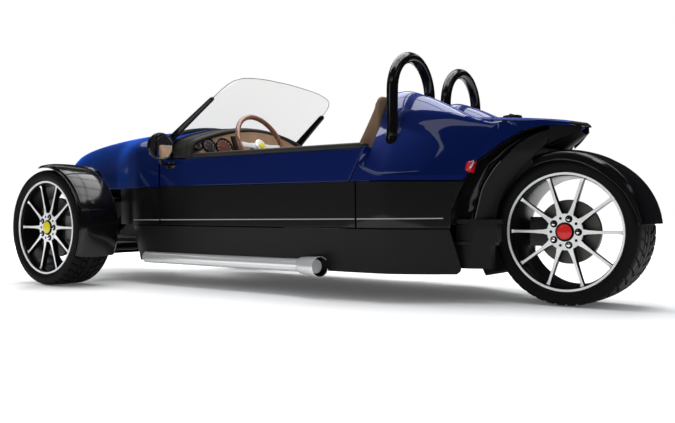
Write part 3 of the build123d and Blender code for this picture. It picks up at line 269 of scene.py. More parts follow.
def slab(low, high, radius=0.003, mat=0):
    """Box with rounded long edges, from its low to its high corner."""
    low, high = np.asarray(low, float), np.asarray(high, float)
    centre, half = (low + high) / 2, (high - low) / 2
    r = min(radius, half[0] * 0.9, half[2] * 0.9)
    path = np.array([[centre[0], y, centre[2]] for y in (low[1], low[1] + r, high[1] - r, high[1])])
    shrink = np.array([1 - r / max(half[0], half[2]), 1, 1, 1 - r / max(half[0], half[2])])
    return swept(path, rounded_box((half[0], half[2]), r), scale=shrink, mat=mat)


def along(stations, values, s):
    """Smooth curve through a table column: Catmull-Rom slopes limited so that it never overshoots."""
    x, y = np.asarray(stations, float), np.asarray(values, float)
    d = np.diff(y) / np.diff(x)
    m = np.zeros_like(y)
    same = d[:-1] * d[1:] > 0
    m[1:-1][same] = 2 * d[:-1][same] * d[1:][same] / (d[:-1][same] + d[1:][same])
    m[0], m[-1] = d[0], d[-1]
    i = np.clip(np.searchsorted(x, s, side="right") - 1, 0, len(x) - 2)
    h = x[i + 1] - x[i]
    t = (s - x[i]) / h
    return ((2 * t**3 - 3 * t**2 + 1) * y[i] + (t**3 - 2 * t**2 + t) * h * m[i]
            + (-2 * t**3 + 3 * t**2) * y[i + 1] + (t**3 - t**2) * h * m[i + 1])


def arc3(a, m, b, q):
    """Point at share q of the circular arc from a through m to b, for arrays of 2-D points."""
    ab, am = b - a, m - a
    cross = 2 * (am[..., 0] * ab[..., 1] - am[..., 1] * ab[..., 0])
    la, lb = (am**2).sum(-1), (ab**2).sum(-1)
    ux = (ab[..., 1] * la - am[..., 1] * lb) / cross
    uy = (am[..., 0] * lb - ab[..., 0] * la) / cross
    c = a + np.stack([ux, uy], -1)
    ra = a - c
    start = np.arctan2(ra[..., 1], ra[..., 0])
    rb = b - c
    sweep = np.arctan2(rb[..., 1], rb[..., 0]) - start
    rm = m - c
    mid = (np.arctan2(rm[..., 1], rm[..., 0]) - start) % (2 * np.pi)
    sweep = sweep % (2 * np.pi)
    sweep = np.where(mid > sweep, sweep - 2 * np.pi, sweep)
    radius = np.sqrt((ra**2).sum(-1))
    angle = start + sweep * q
    return c + radius[..., None] * np.stack([np.cos(angle), np.sin(angle)], -1)


# ---- materials
def shader(name, base, roughness=0.5, metallic=0.0, **sockets):
    """Principled material with plain values on its own sockets; returns material, nodes, links, shader."""
    material = bpy.data.materials.new(name)
    material.use_nodes = True
    tree = material.node_tree
    principled = tree.nodes["Principled BSDF"]
    values = {"Base Color": (*base, 1.0), "Roughness": roughness, "Metallic": metallic, **sockets}
    for socket, value in values.items():
        principled.inputs[socket].default_value = value
    return material, tree, principled


def pattern(tree, kind, scale, coordinate="Object", **settings):
    """Texture node on object coordinates with its scale and settings."""
    where = tree.nodes.new("ShaderNodeTexCoord")
    texture = tree.nodes.new(kind)
    tree.links.new(where.outputs[coordinate], texture.inputs["Vector"])
    for socket, value in {"Scale": scale, **settings}.items():
        texture.inputs[socket].default_value = value
    return texture


def colour_ramp(tree, source, stops):
    """Colour ramp from a texture's value, with (place, colour) stops."""
    ramp = tree.nodes.new("ShaderNodeValToRGB")
    tree.links.new(source, ramp.inputs["Fac"])
    while len(ramp.color_ramp.elements) < len(stops):
        ramp.color_ramp.elements.new(0.5)
    for element, (place, colour) in zip(ramp.color_ramp.elements, stops):
        element.position = place
        element.color = (*colour, 1.0)
    return ramp.outputs["Color"]


def level(tree, source, low, high):
    """Maps a value from 0..1 onto low..high."""
    node = tree.nodes.new("ShaderNodeMapRange")
    tree.links.new(source, node.inputs["Value"])
    node.inputs["To Min"].default_value = low
    node.inputs["To Max"].default_value = high
    return node.outputs["Result"]


def bump(tree, principled, height, strength, distance):
    """Bump from a height value, in metres."""
    node = tree.nodes.new("ShaderNodeBump")
    node.inputs["Strength"].default_value = strength
    node.inputs["Distance"].default_value = distance
    tree.links.new(height, node.inputs["Height"])
    tree.links.new(node.outputs["Normal"], principled.inputs["Normal"])


def lacquer(name, base, flake, roughness, metallic, coat=0.5, glow=0.0, glow_colour=(0, 0, 0)):
    """Paint under clear coat: fine flakes shift its colour, and it glows when seen edge on."""
    material, tree, principled = shader(name, base, roughness, metallic, **{
        "Sheen Weight": glow, "Sheen Tint": (*glow_colour, 1.0), "Sheen Roughness": 0.35,
        "Coat Weight": coat, "Coat Roughness": 0.04, "Coat IOR": 1.6, "Specular IOR Level": 0.15})
    noise = pattern(tree, "ShaderNodeTexNoise", 900.0, Detail=2.0)
    dark = tuple(c * (1 - flake) for c in base)
    light = tuple(min(1.0, c * (1 + flake)) for c in base)
    tree.links.new(colour_ramp(tree, noise.outputs["Fac"], [(0.3, dark), (0.7, light)]),
                   principled.inputs["Base Color"])
    return material


def moulded(name, base, roughness, grain=400.0, depth=0.0002, gloss=0.3):
    """Moulded plastic or powder coat: fine grain in height and gloss."""
    material, tree, principled = shader(name, base, roughness, **{"Specular IOR Level": gloss})
    noise = pattern(tree, "ShaderNodeTexNoise", grain, Detail=3.0)
    tree.links.new(level(tree, noise.outputs["Fac"], roughness * 0.85, roughness * 1.15),
                   principled.inputs["Roughness"])
    bump(tree, principled, noise.outputs["Fac"], 0.25, depth)
    return material


def hide(name, base, dark, roughness=0.55, grain=260.0):
    """Leather: cells of grain in relief, and a broad random tone between the dark and the base colour."""
    material, tree, principled = shader(name, base, roughness, **{
        "Sheen Weight": 0.05, "Sheen Roughness": 0.5, "Specular IOR Level": 0.3})
    cells = pattern(tree, "ShaderNodeTexVoronoi", grain)
    broad = pattern(tree, "ShaderNodeTexNoise", 9.0, Detail=4.0)
    tree.links.new(colour_ramp(tree, broad.outputs["Fac"], [(0.3, dark), (0.7, base)]),
                   principled.inputs["Base Color"])
    bump(tree, principled, cells.outputs["Distance"], 0.35, 0.0006)
    return material


def brushed(name, base, roughness, scale, metallic=1.0, contrast=0.15):
    """Turned or brushed metal: streaks in gloss and tone."""
    material, tree, principled = shader(name, base, roughness, metallic)
    noise = pattern(tree, "ShaderNodeTexNoise", scale, Detail=4.0)
    tree.links.new(level(tree, noise.outputs["Fac"], roughness * 0.7, roughness * 1.3),
                   principled.inputs["Roughness"])
    dark = tuple(c * (1 - contrast) for c in base)
    tree.links.new(colour_ramp(tree, noise.outputs["Fac"], [(0.35, dark), (0.65, base)]),
                   principled.inputs["Base Color"])
    return material


def varnished_wood(name):
    """Varnished wood: wavy rings of light and dark grain under a gloss coat."""
    material, tree, principled = shader(name, (0.24, 0.09, 0.045), 0.35, **{"Coat Weight": 0.8,
                                                                            "Coat Roughness": 0.08})
    wave = pattern(tree, "ShaderNodeTexWave", 30.0, Distortion=6.0, Detail=3.0)
    tree.links.new(colour_ramp(tree, wave.outputs["Fac"], [(0.2, (0.13, 0.045, 0.022)),
                                                           (0.8, (0.30, 0.125, 0.065))]),
                   principled.inputs["Base Color"])
    return material


def clear_glass(name, tint, roughness=0.0, alpha=0.2):
    """Thin clear pane: mostly see-through, with the gloss of glass."""
    material, tree, principled = shader(name, tint, roughness, **{"Alpha": alpha, "Specular IOR Level": 0.6})
    noise = pattern(tree, "ShaderNodeTexNoise", 3.0)
    tree.links.new(level(tree, noise.outputs["Fac"], 0.01, 0.04), principled.inputs["Roughness"])
    return material


def build_materials(colours):
    """All finishes of the car, by plain name."""
    tan = tuple(colours.leather_tan)
    return {
        "blue": lacquer("blue lacquer", tuple(colours.body_blue), 0.22, 0.40, 0.65, 1.0, 0.65,
                        (0.01, 0.15, 1.0)),
        "black": lacquer("black lacquer", (0.0034, 0.0034, 0.0036), 0.2, 0.35, 0.0, 0.35),
        "satin": moulded("satin black panel", (0.0055, 0.0055, 0.0056), 0.42, gloss=0.16),
        "matte": moulded("matte black moulding", (0.0048, 0.0048, 0.0048), 0.62, gloss=0.12),
        "flare": moulded("matte black flare", (0.0045, 0.0045, 0.0046), 0.50, gloss=0.16),
        "coat": moulded("gloss black powder coat", (0.0028, 0.0028, 0.0030), 0.14, 700.0, 0.0001, 0.42),
        "pad": hide("black padded leather", (0.0125, 0.0120, 0.0100), (0.0070, 0.0068, 0.0060)),
        "tan": hide("tan leather", tan, tuple(0.72 * c for c in tan)),
        # Painted shade: the seats take the tan leather darkened to 0.62 and 0.45 of it, for the shade they
        # sit in.
        "seat": hide("tan leather in painted shade", tuple(0.62 * c for c in tan), tuple(0.45 * c for c in tan)),
        "wood": varnished_wood("varnished wood"),
        "chrome": brushed("polished chrome", (0.88, 0.88, 0.89), 0.05, 40.0, contrast=0.03),
        "pipe": brushed("brushed exhaust steel", (0.92, 0.92, 0.92), 0.22, 300.0, metallic=0.55,
                        contrast=0.05),
        "machined": brushed("machined alloy", (0.95, 0.95, 0.95), 0.38, 900.0, metallic=0.35, contrast=0.06),
        "spoke": brushed("brushed spoke alloy", (0.86, 0.86, 0.86), 0.34, 700.0, metallic=0.5, contrast=0.04),
        "barrel": moulded("black barrel lacquer", (0.0040, 0.0040, 0.0042), 0.25, 500.0, 0.0001, 0.16),
        "steel": brushed("ground disc steel", (0.105, 0.098, 0.085), 0.38, 500.0, metallic=0.6,
                         contrast=0.15),
        "cast": brushed("cast grey alloy", (0.20, 0.20, 0.21), 0.5, 400.0, metallic=0.6, contrast=0.20),
        "rubber": moulded("tyre rubber", (0.0036, 0.0036, 0.0036), 0.60, 300.0, 0.0003, 0.11),
        "stripe": moulded("silver stripe", (0.36, 0.36, 0.37), 0.35),
        # Painted highlight: a pale grey finish for the thin tube along the flare's outer edge, standing in
        # for the light that edge catches.
        "trim": moulded("pale painted edge highlight", (0.10, 0.10, 0.105), 0.32),
        "glass": clear_glass("clear windshield", (0.80, 0.82, 0.81), alpha=0.13),
        "lens": clear_glass("clear lens", (0.95, 0.95, 0.95), alpha=0.35),
        "red": lacquer("red lens", (0.42, 0.006, 0.008), 0.15, 0.2, 0.0),
        "yellow cap": lacquer("yellow cap", tuple(colours.front_cap), 0.08, 0.35, 0.0),
        "red cap": lacquer("red cap", tuple(colours.rear_cap), 0.08, 0.35, 0.0),
        "dial": moulded("dial face", (0.006, 0.006, 0.006), 0.3),
        "warm dial": moulded("warm dial face", (0.10, 0.030, 0.018), 0.3),
        "figure": moulded("dial figures", (0.65, 0.63, 0.58), 0.5),
        "needle": moulded("orange needle", (0.75, 0.12, 0.02), 0.4),
        "mirror": brushed("mirror glass", (0.92, 0.92, 0.92), 0.02, 5.0, contrast=0.01),
        "iron": moulded("cast iron", (0.05, 0.05, 0.05), 0.7, 150.0, 0.0008),
    }


MATERIALS = {}


def paint(node, finish):
    """Gives a CAD node its material."""
    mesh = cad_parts[node].data
    mesh.materials.clear()
    mesh.materials.append(MATERIALS[finish])


# ---- body form
# Columns: station, crown z, shoulder x, shoulder z, half width, its z, half width at the crease,
# half width at the floor, floor z, fullness of the shoulder arc
NOSE = np.array([
    (-0.770, 0.655, 0.120, 0.632, 0.175, 0.530, 0.170, 0.140, 0.230, 0.66),
    (-0.700, 0.716, 0.185, 0.684, 0.250, 0.535, 0.242, 0.200, 0.175, 0.66),
    (-0.560, 0.778, 0.235, 0.735, 0.305, 0.545, 0.295, 0.250, 0.145, 0.66),
    (-0.300, 0.828, 0.290, 0.773, 0.352, 0.562, 0.342, 0.300, 0.130, 0.66),
    (0.000, 0.850, 0.345, 0.788, 0.408, 0.600, 0.400, 0.355, 0.125, 0.67),
    (0.250, 0.856, 0.425, 0.786, 0.497, 0.670, 0.490, 0.442, 0.125, 0.69),
    (0.340, 0.857, 0.444, 0.781, 0.515, 0.684, 0.510, 0.460, 0.125, 0.70),
    (0.460, 0.857, 0.462, 0.773, 0.519, 0.690, 0.514, 0.467, 0.125, 0.71),
    (0.600, 0.857, 0.472, 0.768, 0.520, 0.690, 0.515, 0.468, 0.125, 0.72),
    (0.742, 0.857, 0.472, 0.768, 0.520, 0.690, 0.515, 0.468, 0.125, 0.72),
])
TAIL = np.array([
    (1.700, 0.800, 0.372, 0.786, 0.520, 0.640, 0.515, 0.468, 0.125, 0.525),
    (1.880, 0.806, 0.356, 0.790, 0.508, 0.545, 0.502, 0.456, 0.125, 0.525),
    (2.000, 0.808, 0.326, 0.785, 0.442, 0.545, 0.437, 0.398, 0.125, 0.525),
    (2.120, 0.806, 0.292, 0.780, 0.350, 0.545, 0.346, 0.322, 0.125, 0.525),
    (2.250, 0.800, 0.254, 0.775, 0.285, 0.545, 0.280, 0.250, 0.125, 0.525),
    (2.400, 0.786, 0.200, 0.768, 0.224, 0.545, 0.218, 0.188, 0.125, 0.525),
    (2.500, 0.774, 0.142, 0.762, 0.165, 0.545, 0.158, 0.130, 0.125, 0.525),
    (2.586, 0.758, 0.042, 0.752, 0.065, 0.545, 0.058, 0.044, 0.125, 0.525),
])


def columns(table, s):
    """The nine form values at stations s."""
    return [along(table[:, 0], table[:, k], s) for k in range(1, 10)]


def side_x(s, z):
    """Half width of the body side at a height: straight from the floor to the crease, and on up."""
    table = np.where(np.asarray(s) > TAIL_START, 1, 0)
    out = np.empty(np.broadcast(s, z).shape)
    s, z = np.broadcast_to(s, out.shape), np.broadcast_to(z, out.shape)
    for number, form in ((0, NOSE), (1, TAIL)):
        pick = np.broadcast_to(table, out.shape) == number
        at = np.clip(s[pick], form[0, 0], form[-1, 0])
        _, _, _, half, zh, crease, floor, zf, _ = columns(form, at)
        zz = z[pick]
        low = floor + (crease - floor) * (zz - zf) / (CREASE_Z - zf)
        high = crease + (half - crease) * np.clip((zz - CREASE_Z) / (zh - CREASE_Z), 0, 1)
        out[pick] = np.where(zz < CREASE_Z, low, high)
    return out


def body_at(form, s, t, low_z=SPLIT_Z, door_z=RIM_Z + SEAM):
    """Body point: t from 0 to 1 up the side from low_z to the widest line, to 2 over the shoulder,
    to 3 at the crown, and from 3 to 6 the same down the other side."""
    s, t = np.broadcast_arrays(np.asarray(s, float), np.asarray(t, float))
    crown, xs, zs, half, zh, crease, _, _, full = columns(form, s)
    side = np.where(t <= 3, 1.0, -1.0)
    q = np.where(t <= 3, t, 6 - t)
    step = np.clip(q, 0, 1)
    knee = np.where(s >= 0.5, door_z, low_z + 0.872 * (zh - low_z))
    z1 = np.where(step < 0.5, low_z + (knee - low_z) * step * 2, knee + (zh - knee) * (step - 0.5) * 2)
    z1 = np.where(zh < low_z, zh, z1)
    x1 = crease + (half - crease) * (z1 - CREASE_Z) / (zh - CREASE_Z)
    a, b = np.stack([half, zh], -1), np.stack([xs, zs], -1)
    m = np.stack([xs + (half - xs) * full, zh + (zs - zh) * full], -1)
    shoulder = arc3(a, m, b, np.clip(q - 1, 0, 1))
    top = np.stack([np.zeros_like(crown), crown], -1)
    other = np.stack([-xs, zs], -1)
    crest = arc3(b, top, other, np.clip(q - 2, 0, 1) / 2)
    x = np.where(q <= 1, x1, np.where(q <= 2, shoulder[..., 0], crest[..., 0]))
    z = np.where(q <= 1, z1, np.where(q <= 2, shoulder[..., 1], crest[..., 1]))
    return spread(x * side, AXLE_Y + s, z)


def t_steps(side=8, shoulder=10, crown=16):
    """Column parameters across the body, finer where it bends."""
    half = np.concatenate([np.linspace(0, 1, side + 1)[:-1], np.linspace(1, 2, shoulder + 1)[:-1],
                           np.linspace(2, 3, crown + 1)])
    return np.concatenate([half, 6 - half[-2::-1]])


# ---- hood and nose
def spaced(stops, step):
    """Values through all the stops, with no gap wider than step."""
    parts = [np.linspace(a, b, max(2, int(np.ceil((b - a) / step)) + 1))[:-1] for a,
             b in zip(stops, stops[1:])]
    return np.concatenate([*parts, [stops[-1]]])


def build_hood():
    """Hood skin: the body form from the nose lip to the cowl, open where the doors' front edges rise."""
    s = spaced([-0.770, -0.700, -0.560, 0.0, 0.250, DOOR_FRONT - SEAM, COWL_FRONT], 0.014)
    t = t_steps()
    points = body_at(NOSE, s[:, None], t[None, :])
    tc = (t[1:] + t[:-1]) / 2
    low = (np.minimum(tc, 6 - tc) < 0.5)
    sc = (s[1:] + s[:-1]) / 2
    keep = ~((sc[:, None] > DOOR_FRONT - SEAM) & low[None, :])
    skin = surface(points, keep=keep)
    lip = points[0]
    depth = np.linspace(0, 1, 7)[:, None, None]
    inward = spread(-0.018 * np.sign(lip[:, 0]) * (np.abs(lip[:, 0]) > 0.1), 0 * lip[:, 0],
                    -0.018 * (lip[:, 2] > 0.6))
    inner = lip[None] + depth * np.array([0, 0.030, 0]) + np.sin(depth * np.pi / 2) * inward[None]
    roll = surface(inner)
    piece = make_piece("hood_skin", [flipped(skin), roll], ["blue"], "body", ["hood_shell"], smooth=50)
    thicken(piece, size("body_skin"), 0.0015)


def build_cowl():
    """Padded cowl roll over the cabin's front edge, from one side rim over the top to the other."""
    q = np.concatenate([np.linspace(0.5, 1, 8)[:-1], np.linspace(1, 2, 14)[:-1], np.linspace(2, 3, 18)])
    q = np.concatenate([q, 6 - q[-2::-1]])
    front = body_at(NOSE, np.full_like(q, COWL_FRONT), q)
    front[:, 1] = 0
    ahead = np.vstack([front[1:], front[-1:]]) - np.vstack([front[:1], front[:-1]])
    normal = unit(spread(ahead[:, 2], np.zeros(len(q)), -ahead[:, 0]))
    normal *= np.where(np.sum(normal * front, axis=1, keepdims=True) < 0, -1, 1)
    a = np.linspace(0, 2 * np.pi, 29)[:-1]
    half = (COWL_REAR - COWL_FRONT) / 2
    across = half * np.sign(np.cos(a)) * np.abs(np.cos(a)) ** 0.55
    rise = 0.017 * np.sign(np.sin(a)) * np.abs(np.sin(a)) ** 0.8
    middle = AXLE_Y + (COWL_FRONT + COWL_REAR) / 2
    points = front[:, None] + (rise - 0.015)[None, :, None] * normal[:, None]
    points[..., 1] = middle + across[None, :]
    body = surface(points, wrap_v=True)
    ends = []
    for row in (points[0], points[-1]):
        centre = np.repeat(row.mean(axis=0)[None], len(row), axis=0)
        ends.append(surface(np.stack([row, centre]), wrap_v=True))
    make_piece("cowl_roll", [body, *ends], ["pad"], "body", ["cowl_pad"], outward=True)
    across = np.concatenate([np.linspace(0.95, 2, 16)[:-1], np.linspace(2, 4, 40)[:-1],
                             np.linspace(4, 5.05, 16)])
    skin = body_at(NOSE, np.linspace(0.512, 0.606, 8)[:, None], across[None])
    skin = skin + 0.0016 * unit(skin - np.array([0, AXLE_Y + 0.56, 0.30]))
    scuttle = make_piece("scuttle_skin", [surface(skin)], ["flare"], "body", ["cowl_pad"])
    recalc_from(scuttle, np.array([0, AXLE_Y + 0.56, 0.30]))
    thicken(scuttle, 0.0012)
    seam = []
    for shift in (-0.62, 0.62):
        line = front + 0.0012 * normal
        line[:, 1] = middle + half * shift
        seam.append(tube(line, 0.0011, 6))
    make_piece("cowl_stitching", seam, ["matte"], "body", ["cowl_pad"])


# ---- doors, side panels and sills
def door_rear(z):
    """Rear edge station of the door: upright below the colour split, then a jog and a slant."""
    z = np.asarray(z, float)
    return np.where(z <= SPLIT_Z, DOOR_REAR_LOW,
                    DOOR_REAR_MID + (DOOR_REAR_TOP - DOOR_REAR_MID) * (z - SPLIT_Z) / (RIM_Z - SPLIT_Z))


def side_patch(s0, s1, z, step=0.02, mat=0, cols=None, x_of=side_x):
    """Side skin between two edge stations given per height row."""
    s0, s1 = np.broadcast_to(s0, z.shape), np.broadcast_to(s1, z.shape)
    count = cols or int(np.ceil((s1.max() - s0.min()) / step)) + 1
    u = np.linspace(0, 1, count)
    s = s0[:, None] + (s1 - s0)[:, None] * u[None, :]
    zz = np.broadcast_to(z[:, None], s.shape)
    return surface(spread(x_of(s, zz), AXLE_Y + s, zz), mat=mat)


def build_doors():
    """Door skins: blue above the colour split and black below it, on the body's side surface."""
    low = np.linspace(CREASE_Z + 0.002, SPLIT_Z - 0.0015, 22)
    high = np.linspace(SPLIT_Z + 0.0015, RIM_Z, 16)
    for side, name in SIDES:
        node = "door_" + name
        for part, z, finish in (("lower", low, "black"), ("upper", high, "blue")):
            patch = side_patch(np.full(z.shape, DOOR_FRONT), door_rear(z), z)
            patch = patch if side == 1 else mirrored(patch)
            piece = make_piece(f"{node}_{part}_skin", [patch], [finish], node, [node], outward=False)
            orient_out(piece)
            thicken(piece, size("door_skin"), 0.0018)
        z = np.array([CREASE_Z + 0.004, (CREASE_Z + RIM_Z) / 2, RIM_Z - 0.004])
        patch = side_patch(np.full(3, DOOR_FRONT + 0.004), door_rear(z) - 0.004, z, 0.05,
                           x_of=lambda s, h: side_x(s, h) - DOOR_WALL + 0.004)
        patch = flipped(patch) if side == 1 else flipped(mirrored(patch))
        card = make_piece(f"{node}_inner_card", [patch], ["pad"], node, [node])
        orient_out(card, -1)
        thicken(card, 0.006, 0.002)
        lip_z = np.array([0.3172, 0.3240, 0.3340])
        patch = side_patch(np.full(3, DOOR_FRONT + 0.004), np.full(3, DOOR_REAR_LOW - 0.004), lip_z, 0.05,
                           x_of=lambda s, h: side_x(s, h) - 0.014)
        seal = make_piece(f"{node}_seal", [patch if side == 1 else mirrored(patch)], ["matte"], node, [node])
        orient_out(seal)
        thicken(seal, 0.004)
        build_door_trim(side, name)


def orient_out(piece, sign=1):
    """Turns a side skin so that its faces look away from the car's middle (or towards it)."""
    normals, centres = face_data(piece.data)
    if sign * np.sum(normals[:, 0] * np.sign(centres[:, 0])) < 0:
        piece.data.flip_normals()


def build_door_trim(side, name):
    """Padded rail on the door's upper edge, in leather, with its rounded ends."""
    s = np.linspace(COWL_REAR + SEAM, DOOR_REAR_TOP - 0.004, 70)
    wide = DOOR_WALL / 2 + 0.004
    x = side_x(s, np.full_like(s, RIM_Z)) - DOOR_WALL / 2 + 0.002
    path = spread(side * x, AXLE_Y + s, RIM_Z + 0.0135)
    taper = np.ones(len(s))
    taper[[0, -1]] = 0.72
    taper[[1, -2]] = 0.96
    shape = rounded_box((wide, 0.0125), 0.0120, 8)
    make_piece(f"door_rail_{name}", [swept(path, shape, scale=taper)], ["pad"], "door_" + name,
               ["door_trim_" + name], outward=True)


def build_side_panels():
    """Fixed side panels ahead of and behind the doors, and the black sills under them."""
    for side, name in SIDES:
        z = np.linspace(CREASE_Z + 0.002, SPLIT_Z - 0.0035, 18)
        front = side_patch(np.full(z.shape, 0.252), np.full(z.shape, DOOR_FRONT - SEAM), z)
        edge = np.linspace(0.124, 0.252, 10)
        flange_x = 0.470 + (side_x(0.252, 0.42) - 0.470) * np.sin((edge - 0.124) / 0.128 * np.pi / 2)
        lean = (side_x(0.252, z) - side_x(0.252, 0.42))[:, None]
        flange = surface(spread(flange_x[None] + lean, AXLE_Y + edge[None], z[:, None]))
        rear = side_patch(np.full(z.shape, DOOR_REAR_LOW + SEAM),
                          np.interp(z, [0.32, 0.40, SPLIT_Z], [2.122, 2.126, 2.172]), z)
        for part, patches in (("front", [front, flange]), ("rear", [rear])):
            patches = patches if side == 1 else [mirrored(p) for p in patches]
            piece = make_piece(f"side_panel_{part}_{name}", patches, ["black"], "body", ["side_panels"])
            orient_out(piece)
            thicken(piece, 0.008, 0.0018)
        lips = [side_patch(np.full(3, a), np.full(3, b), np.array([0.306, 0.318, 0.334]), 0.05,
                           x_of=lambda s, h: side_x(s, h) - 0.010)
                for a, b in ((0.256, DOOR_FRONT - SEAM), (DOOR_REAR_LOW + SEAM, 2.112))]
        piece = make_piece(f"crease_joint_{name}", lips if side == 1 else [mirrored(p) for p in lips],
                           ["matte"], "body", ["side_panels"])
        orient_out(piece)
        thicken(piece, 0.004)
        z = np.concatenate([[0.125], np.linspace(0.128, 0.20, 9), np.linspace(0.21, CREASE_Z - 0.0045, 10)])
        under = np.interp(np.linspace(0, 1, 6), [0, 1], [0.36, 0.466])
        rear = np.interp(z, [0.125, 0.132, 0.150, 0.320], [2.134, 2.148, 2.154, 2.118])
        sill = side_patch(np.full(z.shape, 0.262), rear, z)
        points = spread(under[:, None], AXLE_Y + np.linspace(0.262, 2.118, 94)[None], np.full((6, 1), 0.1245))
        limit = side_x(np.linspace(0.262, 2.118, 94), np.full(94, 0.125)) - 0.001
        points[..., 0] = np.minimum(points[..., 0], limit[None])
        patches = [sill, surface(points)]
        patches = patches if side == 1 else [mirrored(p) for p in patches]
        piece = make_piece(f"sill_{name}", patches, ["satin"], "body", ["sill_panels"], outward=False)
        orient_out(piece)
        thicken(piece, 0.006, 0.0018)


def build_pinstripe():
    """Thin silver line along the side, from the front panel to the rear of the body, rising a little."""
    half = size("stripe_width") / 2
    for side, name in SIDES:
        for part, s0, s1, body, node in (("front", 0.262, DOOR_FRONT - SEAM, "body", "side_panels"),
                                         ("door", DOOR_FRONT, DOOR_REAR_LOW, "door_" + name, "door_" + name),
                                         ("rear", DOOR_REAR_LOW + SEAM, 2.10, "body", "side_panels")):
            s = spaced([s0 + 0.002, s1 - 0.002], 0.03)
            z = 0.3455 + (s - 0.25) * 0.0092
            rows = np.stack([z - half, z - half, z + half, z + half])
            out = np.array([0.0002, 0.0009, 0.0009, 0.0002])[:, None]
            x = side_x(np.broadcast_to(s, rows.shape), rows) + out
            patch = surface(spread(x * side, AXLE_Y + s, rows))
            piece = make_piece(f"pinstripe_{part}_{name}", [patch], ["stripe"], body, [node])
            orient_out(piece)


# ---- rear deck and tail
BLUE_EDGE = np.array([(2.126, 0.400), (2.132, 0.450), (2.176, 0.531), (2.218, 0.606), (2.292, 0.667),
                      (2.380, 0.727),
                      (2.460, 0.750), (2.640, 0.756)])
ARCH_EDGE = np.array([(2.196, 0.330), (2.206, 0.400), (2.240, 0.500), (2.306, 0.590), (2.386, 0.660),
                      (2.475, 0.668),
                      (2.560, 0.716), (2.640, 0.7565)])
FAIRING = np.array([(1.803, 0.926, 0.136), (1.850, 0.928, 0.136), (1.960, 0.896, 0.120),
                    (2.070, 0.846, 0.096),
                    (2.180, 0.790, 0.064), (2.260, 0.762, 0.034)])
HOOP_X = 0.245


def edge_height(edge, s):
    """Height of a slanting edge line at a station."""
    return np.interp(s, edge[:, 0], edge[:, 1])


def with_fairings(x, s, deck):
    """Deck height with the two head fairings raised out of it, by a bell that is flat at its foot."""
    crest = along(FAIRING[:, 0], FAIRING[:, 1], np.clip(s, 1.803, 2.260))
    wide = along(FAIRING[:, 0], FAIRING[:, 2], np.clip(s, 1.803, 2.260))
    u = (np.abs(x) - HOOP_X) / wide
    return deck + np.clip(crest - deck, 0, None) * np.clip(1 - u**2, 0, 1) ** 1.25


def build_rear_deck():
    """Rear body skin: the tail form with two teardrop fairings raised out of the deck, closed where it
    ends at the sloping colour edge."""
    s = spaced([1.803, 1.850, 2.000, 2.120, 2.250, 2.400, 2.500, 2.545, 2.582], 0.006)
    t = np.concatenate([np.linspace(0, 1, 13)[:-1], np.linspace(1, 2, 15)[:-1], np.linspace(2, 3, 97)])
    t = np.concatenate([t, 6 - t[-2::-1]])
    low = np.maximum(edge_height(BLUE_EDGE, s), SPLIT_Z + 0.0015)
    points = body_tail(s[:, None], t[None, :], low[:, None])
    top = points[..., 2]
    lifted = with_fairings(points[..., 0], np.broadcast_to(s[:, None], top.shape), top)
    points[..., 2] = np.where(np.minimum(t, 6 - t)[None] > 1.0, lifted, top)
    tip = (s[1:] > 2.546)[:, None] & np.ones(len(t) - 1, dtype=bool)[None]
    skin = surface(points, mat=tip.astype(int))
    piece = make_piece("rear_deck", [flipped(skin)], ["blue", "flare"], "body", ["rear_body"],
                       smooth=38)
    thicken(piece, size("body_skin"), 0.0015)
    z = np.linspace(SPLIT_Z + 0.0015, 0.668, 18)
    for side, name in SIDES:
        quarter = side_patch(door_rear(z) + SEAM, np.full(z.shape, 1.804), z, cols=9, x_of=quarter_x)
        piece = make_piece(f"rear_quarter_{name}", [quarter if side == 1 else mirrored(quarter)], ["blue"],
                           "body", ["rear_body"])
        orient_out(piece)
        thicken(piece, 0.006, 0.0010)


def quarter_x(s, z):
    """Half width just behind a door: the door's at the seam, and the deck's at its front edge."""
    start = door_rear(z) + SEAM
    share = np.clip((s - start) / (1.804 - start), 0, 1)
    return side_x(s, z) * (1 - share) + form_x(s, z) * share


def body_tail(s, t, low):
    """Tail form with its lower edge at a height that varies along the car."""
    s, t = np.broadcast_arrays(np.asarray(s, float), np.asarray(t, float))
    low = np.broadcast_to(low, s.shape)
    crown, xs, zs, half, zh, crease, _, _, full = columns(TAIL, s)
    side = np.where(t <= 3, 1.0, -1.0)
    q = np.where(t <= 3, t, 6 - t)
    a, b = np.stack([half, zh], -1), np.stack([xs, zs], -1)
    m = np.stack([xs + (half - xs) * full, zh + (zs - zh) * full], -1)
    sheer = np.clip((low - zh) / (zs - zh), 0, 0.98)
    z1 = low + (np.maximum(zh, low) - low) * np.clip(q, 0, 1)
    x1 = crease + (half - crease) * (z1 - CREASE_Z) / (zh - CREASE_Z)
    share = sheer + (1 - sheer) * np.clip(q - 1, 0, 1)
    shoulder = arc3(a, m, b, share)
    at_edge = arc3(a, m, b, sheer)
    top = np.stack([np.zeros_like(crown), crown], -1)
    crest = arc3(b, top, np.stack([-xs, zs], -1), np.clip(q - 2, 0, 1) / 2)
    x = np.where(q <= 1, np.where(low > zh, at_edge[..., 0], x1), np.where(q <= 2, shoulder[..., 0],
                                                                           crest[..., 0]))
    z = np.where(q <= 1, np.where(low > zh, at_edge[..., 1], z1), np.where(q <= 2, shoulder[..., 1],
                                                                           crest[..., 1]))
    return spread(x * side, AXLE_Y + s, z)


